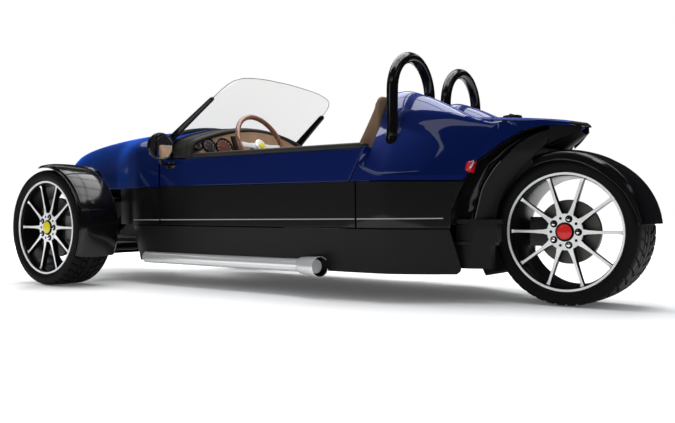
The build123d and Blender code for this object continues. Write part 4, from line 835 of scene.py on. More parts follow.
# Columns: height, x and station of the flare's outer edge, x and station of its inner edge
FLARE = np.array([
    (0.335, 0.284, 2.200, 0.200, 2.262), (0.373, 0.280, 2.207, 0.200, 2.265),
    (0.420, 0.280, 2.219, 0.200, 2.276), (0.477, 0.280, 2.234, 0.200, 2.300),
    (0.563, 0.270, 2.281, 0.198, 2.366), (0.640, 0.250, 2.349, 0.188, 2.432),
    (0.695, 0.210, 2.408, 0.158, 2.472), (0.726, 0.165, 2.465, 0.118, 2.508),
    (0.748, 0.120, 2.512, 0.092, 2.530),
])


def flare_edges(rows=40):
    """Outer and inner edge lines of the wheel arch flare, as points by height."""
    z = np.linspace(FLARE[0, 0], FLARE[-1, 0], rows)
    outer = spread(along(FLARE[:, 0], FLARE[:, 1], z), AXLE_Y + along(FLARE[:, 0], FLARE[:, 2], z), z)
    inner = spread(along(FLARE[:, 0], FLARE[:, 3], z), AXLE_Y + along(FLARE[:, 0], FLARE[:, 4], z), z)
    inner[:, 2] -= 0.020 * np.clip((z - 0.55) / 0.12, 0, 1)
    return outer, inner


def build_arch_bands():
    """Rear arches: a glossy channel along the blue edge, a matt flare with a painted highlight (a thin
    pale tube on the low part of its outer edge), and the tail's black side. The channel sinks by a half
    sine between its two edge lines."""
    outer, inner = flare_edges()
    z = outer[:, 2]
    s_blue = np.interp(z, BLUE_EDGE[:, 1], BLUE_EDGE[:, 0], left=2.122) + 0.002
    blue = spread(form_x(s_blue, z) - 0.005, AXLE_Y + s_blue, z)
    v = np.linspace(0, 1, 17)[None, :, None]
    channel = blue[:, None] + (outer - blue)[:, None] * v
    width = np.linalg.norm(outer - blue, axis=1)
    channel[..., 0] -= (0.55 * width)[:, None] * np.sin(np.pi * v[..., 0]) ** 0.7
    channel[..., 0] = np.maximum(channel[..., 0], 0.02)
    flare = outer[:, None] + (inner - outer)[:, None] * v
    flare[..., 1] += 0.010 * np.sin(np.pi * v[..., 0])
    s = spaced([2.478, 2.540, 2.578], 0.010)
    w = np.linspace(0, 1, 9)
    top = edge_height(BLUE_EDGE, s) - 0.003
    low = np.minimum(edge_height(ARCH_EDGE, s) + 0.001, top - 0.002)
    z2 = low[:, None] + (top - low)[:, None] * w[None, :]
    x2 = form_x(s[:, None], z2) - 0.004
    tail_side = spread(x2, AXLE_Y + s[:, None], z2)
    for side, name in SIDES:
        flip = (lambda p: p) if side == 1 else mirrored
        for label, grid, finish, wall in (("channel", channel, "coat", 0.004),
                                          ("flare", flare, "flare", 0.005),
                                          ("tail_side", tail_side, "flare", 0.004)):
            piece = make_piece(f"arch_{label}_{name}", [flip(surface(grid))], [finish], "body",
                               ["arch_panels"])
            recalc_from(piece, np.array([0, AXLE_Y + 2.30, 0.45]))
            thicken(piece, wall, 0.0010)
        # Painted highlight: a thin pale grey tube along the low part of the flare's outer edge stands in for
        # the light caught there.
        low_part = z < 0.60
        edge = flip(tube(outer[low_part] + (0.0008, 0.0008, 0), 0.0012, 8))
        make_piece(f"arch_edge_highlight_{name}", [edge], ["trim"], "body", ["arch_panels"], outward=True)
        build_tail_lamp(side, name)


def build_tail_lamp(side, name):
    """Tail lamp: a faceted red wedge with a bright fin beside it, standing in the arch channel."""
    y, z = np.linspace(2.166, 2.204, 15), np.linspace(0.553, 0.606, 13)
    a, b = np.linspace(-1, 1, 15), np.linspace(-1, 1, 13)
    bulge = np.outer((1 - a**4) ** 0.5, (1 - b**4) ** 0.5)
    x = 0.296 + 0.030 * bulge - 0.006 * np.abs(a)[:, None]
    lens = surface(spread(x * side, AXLE_Y + y[:, None] + 0.007 * (b[None] + 1), z[None]))
    piece = make_piece(f"tail_lamp_{name}", [lens], ["red"], "body", ["tail_lamps"])
    orient_out(piece)
    thicken(piece, 0.012, 0.001)
    fin = [(0.322, 2.200, 0.572), (0.316, 2.210, 0.590), (0.308, 2.214, 0.606)]
    path = np.array(fin) * (side, 1, 1) + (0, AXLE_Y, 0)
    make_piece(f"tail_lamp_fin_{name}", [swept(path, rounded_box((0.007, 0.004), 0.0035, 4))], ["chrome"],
               "body", ["tail_lamps"], outward=True)


def build_wheel_well():
    """Liner of the rear wheel well: a band round the wheel whose edges turn in from the flares' inner
    edges, at no less than a set radius from the axle between them."""
    _, inner = flare_edges()
    low = spread(0.200, AXLE_Y + np.full(12, 2.262), np.linspace(0.150, 0.330, 12))
    edge = np.concatenate([low, inner])
    hub = REAR_HUB[1:]
    dy, dz = edge[:, 1] - hub[0], edge[:, 2] - hub[1]
    radius, angle = np.hypot(dy, dz), np.arctan2(dz, dy)
    u = np.concatenate([[-1.0], np.linspace(-0.9, 0.9, 27), [1.0]])
    inside = np.clip((1 - np.abs(u)) / 0.12, 0, 1)[None, :]
    r = radius[:, None] + (np.maximum(radius, 0.376)[:, None] - radius[:, None]) * inside
    points = spread(edge[:, 0][:, None] * u[None], hub[0] + r * np.cos(angle)[:, None],
                    hub[1] + r * np.sin(angle)[:, None])
    piece = make_piece("wheel_well", [surface(points)], ["matte"], "body", ["arch_panels"])
    recalc_up(piece, REAR_HUB * (0, 1, 1), -1)
    thicken(piece, 0.004)
    clip = [slab((0.196, AXLE_Y + 2.262, 0.556), (0.214, AXLE_Y + 2.292, 0.578), 0.003)]
    clip = clip + [mirrored(clip[0])]
    make_piece("wheel_well_clips", clip, ["coat"], "body", ["arch_panels"], merge=1e-6, outward=True)


def form_x(s, z):
    """Half width of the tail form at a height, on its side line or on its shoulder arc."""
    _, xs, zs, half, zh, crease, _, _, full = columns(TAIL, s)
    x_low = crease + (half - crease) * np.clip((z - CREASE_Z) / (zh - CREASE_Z), -1, 1)
    a, b = np.stack([half, zh], -1), np.stack([xs, zs], -1)
    m = np.stack([xs + (half - xs) * full, zh + (zs - zh) * full], -1)
    low, high = np.zeros(z.shape), np.ones(z.shape)
    for _ in range(22):
        mid = (low + high) / 2
        above = arc3(a, m, b, mid)[..., 1] > z
        high, low = np.where(above, mid, high), np.where(above, low, mid)
    x_arc = arc3(a, m, b, low)[..., 0]
    return np.where(z <= zh, x_low, x_arc)


def build_tail_underside():
    """Dark underside of the tail: a tongue from the tail tip down to a rounded point over the wheel,
    flat across and bowed down in the middle."""
    s = np.linspace(2.440, 2.578, 24)
    half = np.interp(s, [2.440, 2.520, 2.578], [0.120, 0.096, 0.050])
    top = np.interp(s, [2.440, 2.475, 2.560, 2.578], [0.676, 0.668, 0.716, 0.728])
    u = np.linspace(-1, 1, 19)
    points = spread(half[:, None] * u[None, :], AXLE_Y + s[:, None], top[:, None] - 0.014
                    * (1 - u[None, :] ** 2))
    piece = make_piece("tail_underside", [surface(points)], ["flare"], "body", ["arch_panels"])
    thicken(piece, 0.006, 0.001)


def build_hoops():
    """Roll hoops: upright tubes with half-round tops and collars at their feet."""
    patches = []
    bend, y = size("hoop_radius"), AXLE_Y + 1.877
    for centre in (HOOP_X, -HOOP_X):
        a = np.linspace(0, np.pi, 41)
        arch = spread(centre + bend * np.cos(a), y, 0.916 + bend * np.sin(a))
        legs = [np.array([[centre + bend * k, y, z] for z in (0.70, 0.78, 0.86)]) for k in (1, -1)]
        path = np.concatenate([legs[0], arch, legs[1][::-1]])
        patches.append(tube(path, size("hoop_tube"), 32, up=(0, 1, 0)))
        for k in (1, -1):
            foot = np.array([centre + bend * k, y, 0])
            outer = abs(foot[0]) > HOOP_X
            base = 0.700 if outer else 0.790
            profile = [(base - 0.05, 0.0), (base - 0.05, 0.026), (base + 0.002, 0.0310),
                       (base + 0.010, 0.0304),
                       (base + 0.019, 0.0284), (base + 0.026, 0.0262), (base + 0.034, 0.0250)]
            patches.append(lathe(profile, foot, (0, 0, 1), 40, start=(1, 0, 0)))
    make_piece("hoop_tubes", patches, ["coat"], "body", ["roll_hoops"], outward=True)


def build_fuel_cap():
    """Fuel cap: a low disc with a raised grip bar and a flange ring."""
    profile = [(-0.02, 0.050), (0.004, 0.050), (0.006, 0.046), (0.006, 0.043), (0.014, 0.0425),
               (0.0185, 0.040),
               (0.0195, 0.036), (0.0180, 0.032), (0.0175, 0.0)]
    centre = np.array([0.0, AXLE_Y + 2.252, 0.800])
    top = lathe(profile, centre, (0, 0, 1), 60, start=(1, 0, 0))
    grip = slab(centre + (-0.028, -0.006, 0.014), centre + (0.028, 0.006, 0.026), 0.005)
    make_piece("fuel_filler", [top, grip], ["satin"], "body", ["fuel_cap"], outward=True)


# ---- windshield
RAKE = np.radians(33)
GLASS_UP = np.array([0.0, np.cos(RAKE), np.sin(RAKE)])
GLASS_OUT = np.array([0.0, -np.sin(RAKE), np.cos(RAKE)])
GLASS_RADIUS = (0.497**2 + 0.113**2) / (2 * 0.113)


def glass_point(x, up):
    """Point of the glass: up its slope from the front axle, on a circular arc across the car."""
    out = 0.453 - GLASS_RADIUS + np.sqrt(GLASS_RADIUS**2 - x**2)
    return spread(x, 0 * x, 0 * x) + [0, AXLE_Y, 0] + up[..., None] * GLASS_UP + out[..., None] * GLASS_OUT


def build_windshield():
    """Frameless raked glass: a sheet with a circular arc across, lower at its rounded corners."""
    u = np.sin(np.linspace(-np.pi / 2, np.pi / 2, 81))
    v = np.linspace(0, 1, 25)[:, None]
    x = u[None] * (0.498 - 0.040 * v)
    low = np.interp(np.abs(x), [0, 0.26, 0.498], [0.878, 0.892, 0.917])
    top = np.interp(np.abs(x), [0, 0.18, 0.33, 0.398, 0.423, 0.439, 0.451, 0.458],
                    [1.338, 1.345, 1.356, 1.350, 1.335, 1.312, 1.280, 1.235])
    points = glass_point(x, low + (top - low) * v)
    piece = make_piece("windshield_glass", [surface(points)], ["glass"], "body", ["windshield"])
    thicken(piece, size("glass_thickness"), 0.0012)
    rim = np.concatenate([points[:-1, -1], points[-1, ::-1], points[-2::-1, 0]]) - 0.0022 * GLASS_OUT
    make_piece("windshield_edge", [tube(rim, 0.0015, 8, up=GLASS_OUT)], ["matte"], "body", ["windshield"])
    line = points[0] + 0.002 * GLASS_UP
    seal = swept(line, rounded_box((0.011, 0.006), 0.005, 4), up=GLASS_UP)
    make_piece("windshield_seal", [seal], ["matte"], "body", ["windshield"], outward=True)


def build_posts():
    """Windshield stays: tapered rounded bars along the glass's side edges, from the body's shoulder up to
    where the glass's corner starts, with rounded heads."""
    head = np.sin(np.linspace(0, np.pi / 2, 9)[1:])
    up = np.concatenate([np.linspace(0.872, 1.220, 36), 1.220 + 0.0165 * head])
    size = np.interp(up, [0.872, 1.220], [1.0, 0.66])
    size[-len(head):] *= np.sqrt(np.maximum(1 - head**2, 0.04))
    bars = glass_point(np.interp(up, [0.90, 1.2365], [0.502, 0.461]), up) - 0.003 * GLASS_OUT
    bars = np.vstack([[0.492, AXLE_Y + 0.535, 0.728], bars])
    size = np.concatenate([[1.05], size])
    for side, name in SIDES:
        lean = unit(GLASS_OUT + np.array([0.47 * side, 0, 0]))
        bar = swept(bars * (side, 1, 1), rounded_box((0.0232, 0.0155), 0.0110, 7), scale=size, up=lean)
        make_piece(f"windshield_stay_{name}", [bar], ["coat"], "body", ["windshield_posts"], outward=True)


# ---- wheels
WHEELS = (
    # label, hub middle, tyre half width, face sign, cap finish, body
    ("front_left", FRONT_HUB, 0.1125, 1, "yellow cap", "wheel_front_left"),
    ("front_right", FRONT_HUB * (-1, 1, 1), 0.1125, -1, "yellow cap", "wheel_front_right"),
    ("rear", REAR_HUB * (0, 1, 1), 0.1425, 1, "red cap", "wheel_rear"),
)
LIP_RADIUS = 0.246
SPOKES = 10


def tyre_profile(half):
    """Outer line of a tyre's side wall as (x, r): bead, side bulge and shoulder."""
    wall_x = [-0.86, -0.93, -0.985, -1.0, -0.985, -0.95]
    wall_r = [0.243, 0.250, 0.262, 0.275, 0.287, 0.2965]
    return [(half * x, r) for x, r in zip(wall_x, wall_r)]


def tread_relief(x, w, half, drive):
    """Depth of the tread's cuts: straight ring grooves and curved V cuts that sweep to the shoulders."""
    u = np.abs(x) / half
    rings = np.zeros_like(u)
    for place in (0.16, 0.47):
        rings = np.maximum(rings, np.clip(1 - np.abs(u - place) / 0.028, 0, 1))
    sweep = 42 * w / (2 * np.pi) + drive * (1.35 * u**0.75)
    saw = np.abs((sweep + 0.5) % 1 - 0.5)
    cuts = np.clip((0.125 - saw) / 0.035, 0, 1) * np.clip((u - 0.19) / 0.03, 0,
                                                          1) * np.clip((0.99 - u) / 0.05, 0, 1)
    return np.maximum(np.clip(rings * 2.2, 0, 1), cuts)


def build_tyre(label, hub, half, body):
    """Road tyre: lathe of side walls with a groove ring, and a tread grid with directional cuts."""
    side = tyre_profile(half)
    walls = lathe(side, hub, (1, 0, 0), 160)
    other = lathe([(-x, r) for x, r in side[::-1]], hub, (1, 0, 0), 160)
    w = np.linspace(0, 2 * np.pi, 840, endpoint=False)
    x = np.linspace(-0.95, 0.95, 85) * half
    u = np.abs(x) / half
    crown = TYRE_RADIUS - 0.0004 - 0.0035 * u**2 - 0.0070 * np.clip((u - 0.78) / 0.17, 0, 1) ** 2
    depth = size("tread_depth") * tread_relief(x[None, :], w[:, None], half, 1)
    r = crown[None, :] - depth
    points = hub + spread(x[None], r * np.sin(w)[:, None], r * np.cos(w)[:, None])
    tread = surface(points, wrap_u=True)
    inner = lathe([(-half * 0.86, 0.243), (-half * 0.5, 0.2405), (half * 0.5, 0.2405),
                   (half * 0.86, 0.243)], hub, (1, 0, 0), 160)
    make_piece(f"tyre_{label}_rubber", [walls, other, flipped(tread), inner], ["rubber"], body,
                       [f"tyre_{label}"], merge=4e-5, smooth=38, outward=True)


def spoke_patches(hub, face_x, sign, angle):
    """One spoke: a tapered bar from the hub to the lip, with a machined face and black flanks."""
    n = 26
    q = np.linspace(0, 1, n)
    r = 0.058 + (LIP_RADIUS - 0.009 - 0.058) * q
    width = np.interp(q, [0, 0.08, 0.20, 0.45, 0.80, 0.94, 1.0],
                      [0.0195, 0.0140, 0.0092, 0.0064, 0.0058, 0.0066, 0.0120])
    dish = np.interp(q, [0, 0.12, 0.25, 0.6, 0.92, 1.0], [0.0030, 0.0020, -0.001, -0.002, -0.003, 0.004])
    depth = np.interp(q, [0, 0.5, 1.0], [0.034, 0.028, 0.022])
    lanes = np.array([(-1.00, -1.0), (-1.05, -0.55), (-1.00, -0.035), (-0.90, 0.0), (-0.45, 0.0), (0.0, 0.0),
                      (0.45, 0.0), (0.90, 0.0), (1.00, -0.035), (1.05, -0.55), (1.00, -1.0)])
    t = width[:, None] * lanes[None, :, 0]
    x = dish[:, None] + np.where(lanes[None, :, 1] > -0.01, 0, lanes[None, :, 1] * depth[:, None])
    c, s = np.cos(angle), np.sin(angle)
    y = r[:, None] * c - t * s
    z = r[:, None] * s + t * c
    points = hub + spread(face_x + sign * x, y, z)
    kinds = np.broadcast_to((np.abs(lanes[:-1, 1] + lanes[1:, 1]) < 0.01).astype(int),
                            (n - 1, len(lanes) - 1))
    patch = surface(points, mat=kinds)
    return patch if sign > 0 else flipped(patch)


def build_rim(label, hub, half, sign, cap, body):
    """Rim: barrel, machined lip ring, ten slim spokes, hub with lug pockets and a coloured cap."""
    outer = sign * (half * 0.90 - 0.012)
    face_x = outer - sign * 0.006
    edge = half * 0.90
    barrel = [(sign * (edge - 0.003), LIP_RADIUS - 0.0095), (sign * (edge - 0.012), LIP_RADIUS - 0.013),
              (sign * (edge - 0.022), 0.2305), (sign * (edge - 0.060), 0.2265),
              (sign * (-edge * 0.6), 0.2265), (sign * (-edge + 0.01), 0.2335), (-sign * edge, 0.2395)]
    lip = [(sign * (edge - 0.003), LIP_RADIUS - 0.0095), (sign * (edge + 0.0018), LIP_RADIUS - 0.0088),
           (sign * (edge + 0.0022), LIP_RADIUS - 0.0010), (sign * (edge + 0.0008), LIP_RADIUS + 0.0004),
           (sign * (edge - 0.008), LIP_RADIUS + 0.0005)]
    hub_front = face_x + sign * 0.003
    hub_side = [(hub_front - sign * 0.040, 0.078), (hub_front - sign * 0.012, 0.078),
                (hub_front - sign * 0.003, 0.0765)]
    hub_face = [(hub_front - sign * 0.003, 0.0765), (hub_front, 0.0745), (hub_front, 0.0400)]
    hub_well = [(hub_front, 0.0400), (hub_front - sign * 0.006, 0.0385), (hub_front - sign * 0.006, 0.034),
                (hub_front + sign * 0.004, 0.033), (hub_front + sign * 0.006, 0.0315)]
    patches = [lathe(barrel, hub, (1, 0, 0), 128, mat=0), lathe(lip, hub, (1, 0, 0), 160, mat=1),
               lathe(hub_side, hub, (1, 0, 0), 96, mat=0), lathe(hub_face, hub, (1, 0, 0), 96, mat=1),
               lathe(hub_well, hub, (1, 0, 0), 96, mat=0)]
    for number in range(SPOKES):
        patches.append(spoke_patches(hub, face_x, sign, number * 2 * np.pi / SPOKES))
    piece = make_piece(f"rim_{label}_wheel", patches, ["barrel", "machined"], body, [f"rim_{label}"],
                       merge=1e-5, smooth=32)
    recalc(piece.data)
    bolts = []
    for number in range(5):
        a = number * 2 * np.pi / 5
        centre = hub + np.array([hub_front, 0.0565 * np.cos(a), 0.0565 * np.sin(a)])
        dish = [(-0.0010 * sign, 0.0155), (0.0010 * sign, 0.0152), (0.0014 * sign, 0.0140),
                (0.0005 * sign, 0.0128), (0.0004 * sign, 0.0)]
        bolts.append(lathe(dish, centre, (1, 0, 0), 36, mat=0))
        head = [(0.0003 * sign, 0.0090), (0.0075 * sign, 0.0088), (0.0092 * sign, 0.0070),
                (0.0096 * sign, 0.0)]
        bolts.append(lathe(head, centre, (1, 0, 0), 6, mat=1))
        b = a + np.pi / 5
        centre = hub + np.array([hub_front, 0.0585 * np.cos(b), 0.0585 * np.sin(b)])
        bolts.append(lathe([(-0.0010 * sign, 0.0062), (0.0008 * sign, 0.0060), (0.0005 * sign, 0.0)],
                           centre, (1, 0, 0), 20))
    make_piece(f"rim_{label}_bolts", bolts, ["matte", "chrome"], body, [f"rim_{label}"], merge=1e-6,
               smooth=30, outward=True)
    dome = [(hub_front + sign * 0.0062, 0.0318), (hub_front + sign * 0.0085, 0.030),
            (hub_front + sign * 0.0100, 0.024), (hub_front + sign * 0.0108, 0.012),
            (hub_front + sign * 0.0110, 0.0)]
    make_piece(f"rim_{label}_cap", [lathe(dome, hub, (1, 0, 0), 48)], [cap], body, [f"rim_{label}"],
               merge=1e-6, outward=True)


def build_wheels():
    """Tyres, rims and turned discs of the three wheels."""
    for label, hub, half, face, cap, body in WHEELS:
        build_tyre(label, hub, half, body)
        build_rim(label, hub, half, face, cap, body)
        paint(f"brake_disc_{label}", "steel")


# ---- fenders
def fender_skin(centre, radius, x0, x1, top, low, crown, ridge):
    """Fender surface round an axle: angle from top to low, raised along the middle, with rolled edges."""
    a = np.radians(np.linspace(top, low, 72))
    u = np.linspace(-1, 1, 37)
    x = (x0 + x1) / 2 + (x1 - x0) / 2 * u
    rise = crown * (1 - np.abs(u) ** 3) - crown * 0.6 * np.clip((np.abs(u) - 0.93) / 0.07, 0, 1)
    rise = rise + ridge * np.clip(1 - np.abs(u - 0.45) / 0.05, 0, 1)
    r = radius - crown + rise
    y = centre[1] + r[None] * np.cos(a)[:, None]
    z = centre[2] + r[None] * np.sin(a)[:, None]
    return spread(x[None], y, z)


def build_fenders():
    """Front fenders on the steered uprights and the rear fender on the body, with lips and seams."""
    for side, name in SIDES:
        points = fender_skin(FRONT_HUB * (0, 1, 1), 0.3405, 0.644, 0.874, 98.0, -26.0, 0.014, 0.0)
        points[..., 0] *= side
        skin = surface(points)
        body = "knuckle_" + name
        piece = make_piece(f"fender_{name}_skin", [skin], ["coat"], body, ["front_fender_" + name], smooth=50)
        recalc_up(piece, FRONT_HUB * (side, 1, 1))
        thicken(piece, size("fender_thickness"), 0.0015)
        ribs = []
        for row in (24, 47):
            line = points[row] + unit(points[row] - FRONT_HUB * (side, 1, 1)) * (0, 1, 1) * 0.0008
            ribs.append(tube(line[1:-1], 0.0022, 8))
        edge = spread(points[:, -1, 0], points[:, -1, 1], points[:, -1, 2])
        ribs.append(tube(edge, 0.0032, 10))
        inner = points[:, 0]
        ribs.append(tube(inner, 0.0032, 10))
        make_piece(f"fender_{name}_ribs", ribs, ["coat"], body, ["front_fender_" + name], outward=True)
    points = fender_skin(REAR_HUB * (0, 1, 1), 0.3465, -0.158, 0.158, 112.0, 6.0, 0.012, 0.0)
    close = 1 - 0.032 * np.clip(1 - np.arange(len(points)) / 71 * 2.2 + 1.2, 0, 1)[::-1] ** 2
    out = points - REAR_HUB * (0, 1, 1)
    points = REAR_HUB * (0, 1, 1) + out * spread(np.ones(72), close, close)[:, None]
    drop = np.clip((71 - np.arange(72)) / 30, 0, 1) ** 0.7
    skirts = []
    for column in (0, -1):
        edge = points[:, column]
        away = (edge - REAR_HUB * (0, 1, 1)) * (0, 1, 1)
        inward = -away / np.linalg.norm(away, axis=1, keepdims=True)
        depth = np.linspace(0, 1, 6)[None, :, None] * (0.006 + 0.022 * drop)[:, None, None]
        skirts.append(edge[:, None] + inward[:, None] * depth)
    points = np.concatenate([skirts[0][:, :0:-1], points, skirts[1][:, 1:]], axis=1)
    piece = make_piece("rear_fender_skin", [surface(points)], ["coat"], "body", ["rear_fender"], smooth=50)
    recalc_up(piece, REAR_HUB * (0, 1, 1))
    thicken(piece, size("fender_thickness"), 0.0015)
    edges = [tube(points[:, k], 0.003, 10) for k in (0, -1)]
    make_piece("rear_fender_edges", edges, ["coat"], "body", ["rear_fender"], outward=True)


def recalc_up(piece, centre, way=1):
    """Turns a skin's faces away from an axle, or towards it."""
    normals, centres = face_data(piece.data)
    away = (centres - centre) * (0, 1, 1)
    if way * np.sum(normals * away) < 0:
        piece.data.flip_normals()


# ---- mirrors, lamps, exhaust, grille
def build_mirrors():
    """Door mirrors: deep bowls with a thick rolled rim, inset glass, a stalk and an oval foot."""
    for side, name in SIDES:
        centre = np.array([side * 0.606, AXLE_Y + 0.604, 0.722])
        aim = unit(np.array([0.24 * side, 0.97, 0.03]))
        bowl = [(-0.0290, 0.0), (-0.0285, 0.014), (-0.0265, 0.030), (-0.0215, 0.047), (-0.0125, 0.0605),
                (0.0, 0.0675), (0.0150, 0.0692), (0.0235, 0.0696), (0.0270, 0.0685), (0.0280, 0.0660),
                (0.0268, 0.0630), (0.0225, 0.0618)]
        foot = np.array([side * 0.519, AXLE_Y + 0.592, 0.632])
        start = centre + (-0.012 * side, -0.004, -0.058)
        w = np.linspace(0, 1, 16)[:, None]
        bend = np.array([side * 0.022, -0.004, -0.012]) * np.sin(np.pi * w)
        stalk = tube(start + (foot - start) * w + bend, 0.0085, 20, scale=1 + 0.35 * (2 * w[:, 0] - 1) ** 4)
        flat = lathe([(-0.004, 0.0), (-0.004, 0.030), (0.003, 0.030), (0.0065, 0.026), (0.009, 0.014),
                      (0.010, 0.0)], foot, (side, 0, 0.05), 48)
        flat = (foot + (flat[0] - foot) * (1, 1.35, 0.62), flat[1], flat[2])
        body = "door_" + name
        node = "mirror_" + name
        make_piece(f"{node}_bowl", [lathe(bowl, centre, aim, 80), stalk, flat], ["coat"], body, [node],
                   outward=True)
        make_piece(f"{node}_glass",
                   [lathe([(0.0222, 0.0619), (0.0230, 0.040), (0.0234, 0.0)], centre, aim, 80)],
                   ["mirror"], body, [node])
        band = lathe([(0.0135, 0.0694), (0.0142, 0.0706), (0.0172, 0.0708), (0.0180, 0.0696)],
                     centre, aim, 80)
        make_piece(f"{node}_band", [band], ["coat"], body, [node], outward=True)


def build_headlamps():
    """Headlamps: drum buckets with a bright reflector, a lens and a rim, on tube arms."""
    for side, name in SIDES:
        centre = np.array([side * 0.488, AXLE_Y - 0.150, 0.572])
        bucket = [(0.060, 0.0), (0.059, 0.030), (0.050, 0.058), (0.030, 0.076), (0.0, 0.084),
                  (-0.040, 0.0858),
                  (-0.046, 0.0862), (-0.056, 0.0862), (-0.0605, 0.083), (-0.0610, 0.0785), (-0.0560, 0.0765)]
        bowl = [(-0.0560, 0.0765), (-0.030, 0.066), (0.010, 0.045), (0.026, 0.020), (0.030, 0.0)]
        make_piece(f"headlamp_bucket_{name}", [lathe(bucket, centre, (0, 1, 0), 72)], ["coat"], "body",
                   ["headlamps"], outward=True)
        make_piece(f"headlamp_bowl_{name}", [lathe(bowl, centre, (0, 1, 0), 72)], ["chrome"], "body",
                   ["headlamps"])
        make_piece(f"headlamp_lens_{name}",
                   [lathe([(-0.0580, 0.0768), (-0.0610, 0.055), (-0.0630, 0.030), (-0.0635, 0.0)],
                          centre, (0, 1, 0), 72)], ["lens"], "body", ["headlamp_lenses"])
        x0, x1 = side * 0.262, side * 0.470
        arm = np.array([[x0, AXLE_Y - 0.148, 0.486], [side * 0.36, AXLE_Y - 0.148, 0.487],
                        [x1, AXLE_Y - 0.150, 0.495]])
        make_piece(f"headlamp_arm_{name}", [tube(arm, 0.0125, 20)], ["coat"], "body", ["headlamps"],
                   outward=True)


def build_exhaust():
    """Side exhausts: long pipes with turned-out flared tips, dark inside."""
    turn = np.radians(16)
    for side, name in SIDES:
        start = np.array([side * 0.471, AXLE_Y + 0.345, 0.145])
        bend = np.array([side * 0.471, AXLE_Y + 1.420, 0.145])
        way = np.array([side * np.sin(turn), np.cos(turn), 0])
        a = np.linspace(0, turn, 9)
        reach = 0.12
        radius = reach / np.tan(turn / 2)
        arc = bend + spread(side * radius * (1 - np.cos(a)), radius * np.sin(a) - reach, 0 * a)
        path = np.concatenate([start + np.linspace(0, 1, 40)[:, None] * (arc[0] - start), arc[1:]])
        pipe = tube(path, size("exhaust_radius"), 40)
        tip_start = bend + way * 0.020
        outer = [(-0.030, 0.0312), (-0.020, 0.0345), (-0.006, 0.0385), (0.010, 0.0405), (0.100, 0.0440),
                 (0.120, 0.0462),
                 (0.1290, 0.0466), (0.1300, 0.0452), (0.1270, 0.0436)]
        inner = [(0.1270, 0.0436), (0.020, 0.0380), (0.010, 0.0)]
        make_piece(f"exhaust_pipe_{name}", [pipe, lathe(outer, tip_start, way, 64)], ["pipe"], "body",
                           ["exhaust_pipes"], outward=True)
        make_piece(f"exhaust_bore_{name}", [lathe(inner, tip_start, way, 64)], ["matte"], "body",
                   ["exhaust_pipes"])


def build_nose_lower():
    """Black lower skin of the nose, under the colour split, round to the open grille."""
    patches = []
    for side in (1, -1):
        s = spaced([-0.769, -0.700, -0.560, -0.302], 0.02)
        _, _, _, _, _, _, floor, zf, _ = columns(NOSE, s)
        v = np.linspace(0, 1, 22)[:, None]
        z = zf + (SPLIT_Z - 0.0035 - zf) * v
        x = side_x(np.broadcast_to(s, z.shape), z)
        x[0] = floor
        sheet = surface(spread(x * side, AXLE_Y + s, z))
        u = np.linspace(0, 1, 8)[:, None]
        under = surface(spread(side * floor * u, AXLE_Y + s, zf))
        patches += [sheet, under]
    piece = make_piece("nose_lower_skin", patches, ["satin"], "body", ["nose_lower"])
    recalc_from(piece, np.array([0, AXLE_Y - 0.5, 0.35]))
    thicken(piece, size("body_skin"), 0.0015)


def recalc_from(piece, centre):
    """Turns all faces of a skin away from a point inside it."""
    mesh = piece.data
    normals, centres = face_data(mesh)
    inward = np.sum(normals * (centres - centre), axis=1) < 0
    bm = bmesh.new()
    bm.from_mesh(mesh)
    bm.faces.ensure_lookup_table()
    wrong = [bm.faces[k] for k in np.flatnonzero(inward)]
    bmesh.ops.reverse_faces(bm, faces=wrong)
    bm.to_mesh(mesh)
    bm.free()


def build_grille():
    """Nose opening: dark backing, a rolled frame and seven rounded slats."""
    slats = []
    for z in np.arange(0.262, 0.620, 0.036):
        half = 0.158 if z < 0.56 else 0.128
        slats.append(slab((-half, AXLE_Y - 0.766, z - 0.004), (half, AXLE_Y - 0.748, z + 0.004), 0.003))
    z = np.linspace(0.24, 0.62, 20)
    x = np.interp(z, [0.24, 0.52, 0.62], [0.135, 0.160, 0.115])
    rim = np.concatenate([spread(x, 0 * x + AXLE_Y - 0.764, z), spread(-x, 0 * x + AXLE_Y - 0.764, z)[::-1]])
    frame_ring = tube(rim, 0.007, 12, closed=True, up=(0, 1, 0))
    make_piece("grille_slats", [*slats, frame_ring], ["coat"], "body", ["grille"], outward=True)
    back = spread(np.linspace(-1, 1, 15)[None] * x[:, None], AXLE_Y - 0.744, z[:, None])
    piece = make_piece("grille_mesh", [surface(back)], ["matte"], "body", ["grille"])
    thicken(piece, 0.004)


# ---- cabin
def dash_y(x, z):
    """Dash face: it leans back towards its foot, bows forward towards the doors and turns in at its ends."""
    end = np.clip((np.abs(x) - 0.448) / 0.026, 0, 1)
    return AXLE_Y + 0.7726 - 0.26 * x**2 - 0.09 * end**2 + 0.35 * (0.745 - z)


def on_dash(x, z, out=0.0):
    """Point on the dash face, and its outward direction."""
    aim = unit(np.array([0.52 * x, 1.0, 0.35]))
    return np.array([x, dash_y(x, z), z]) + out * aim, aim


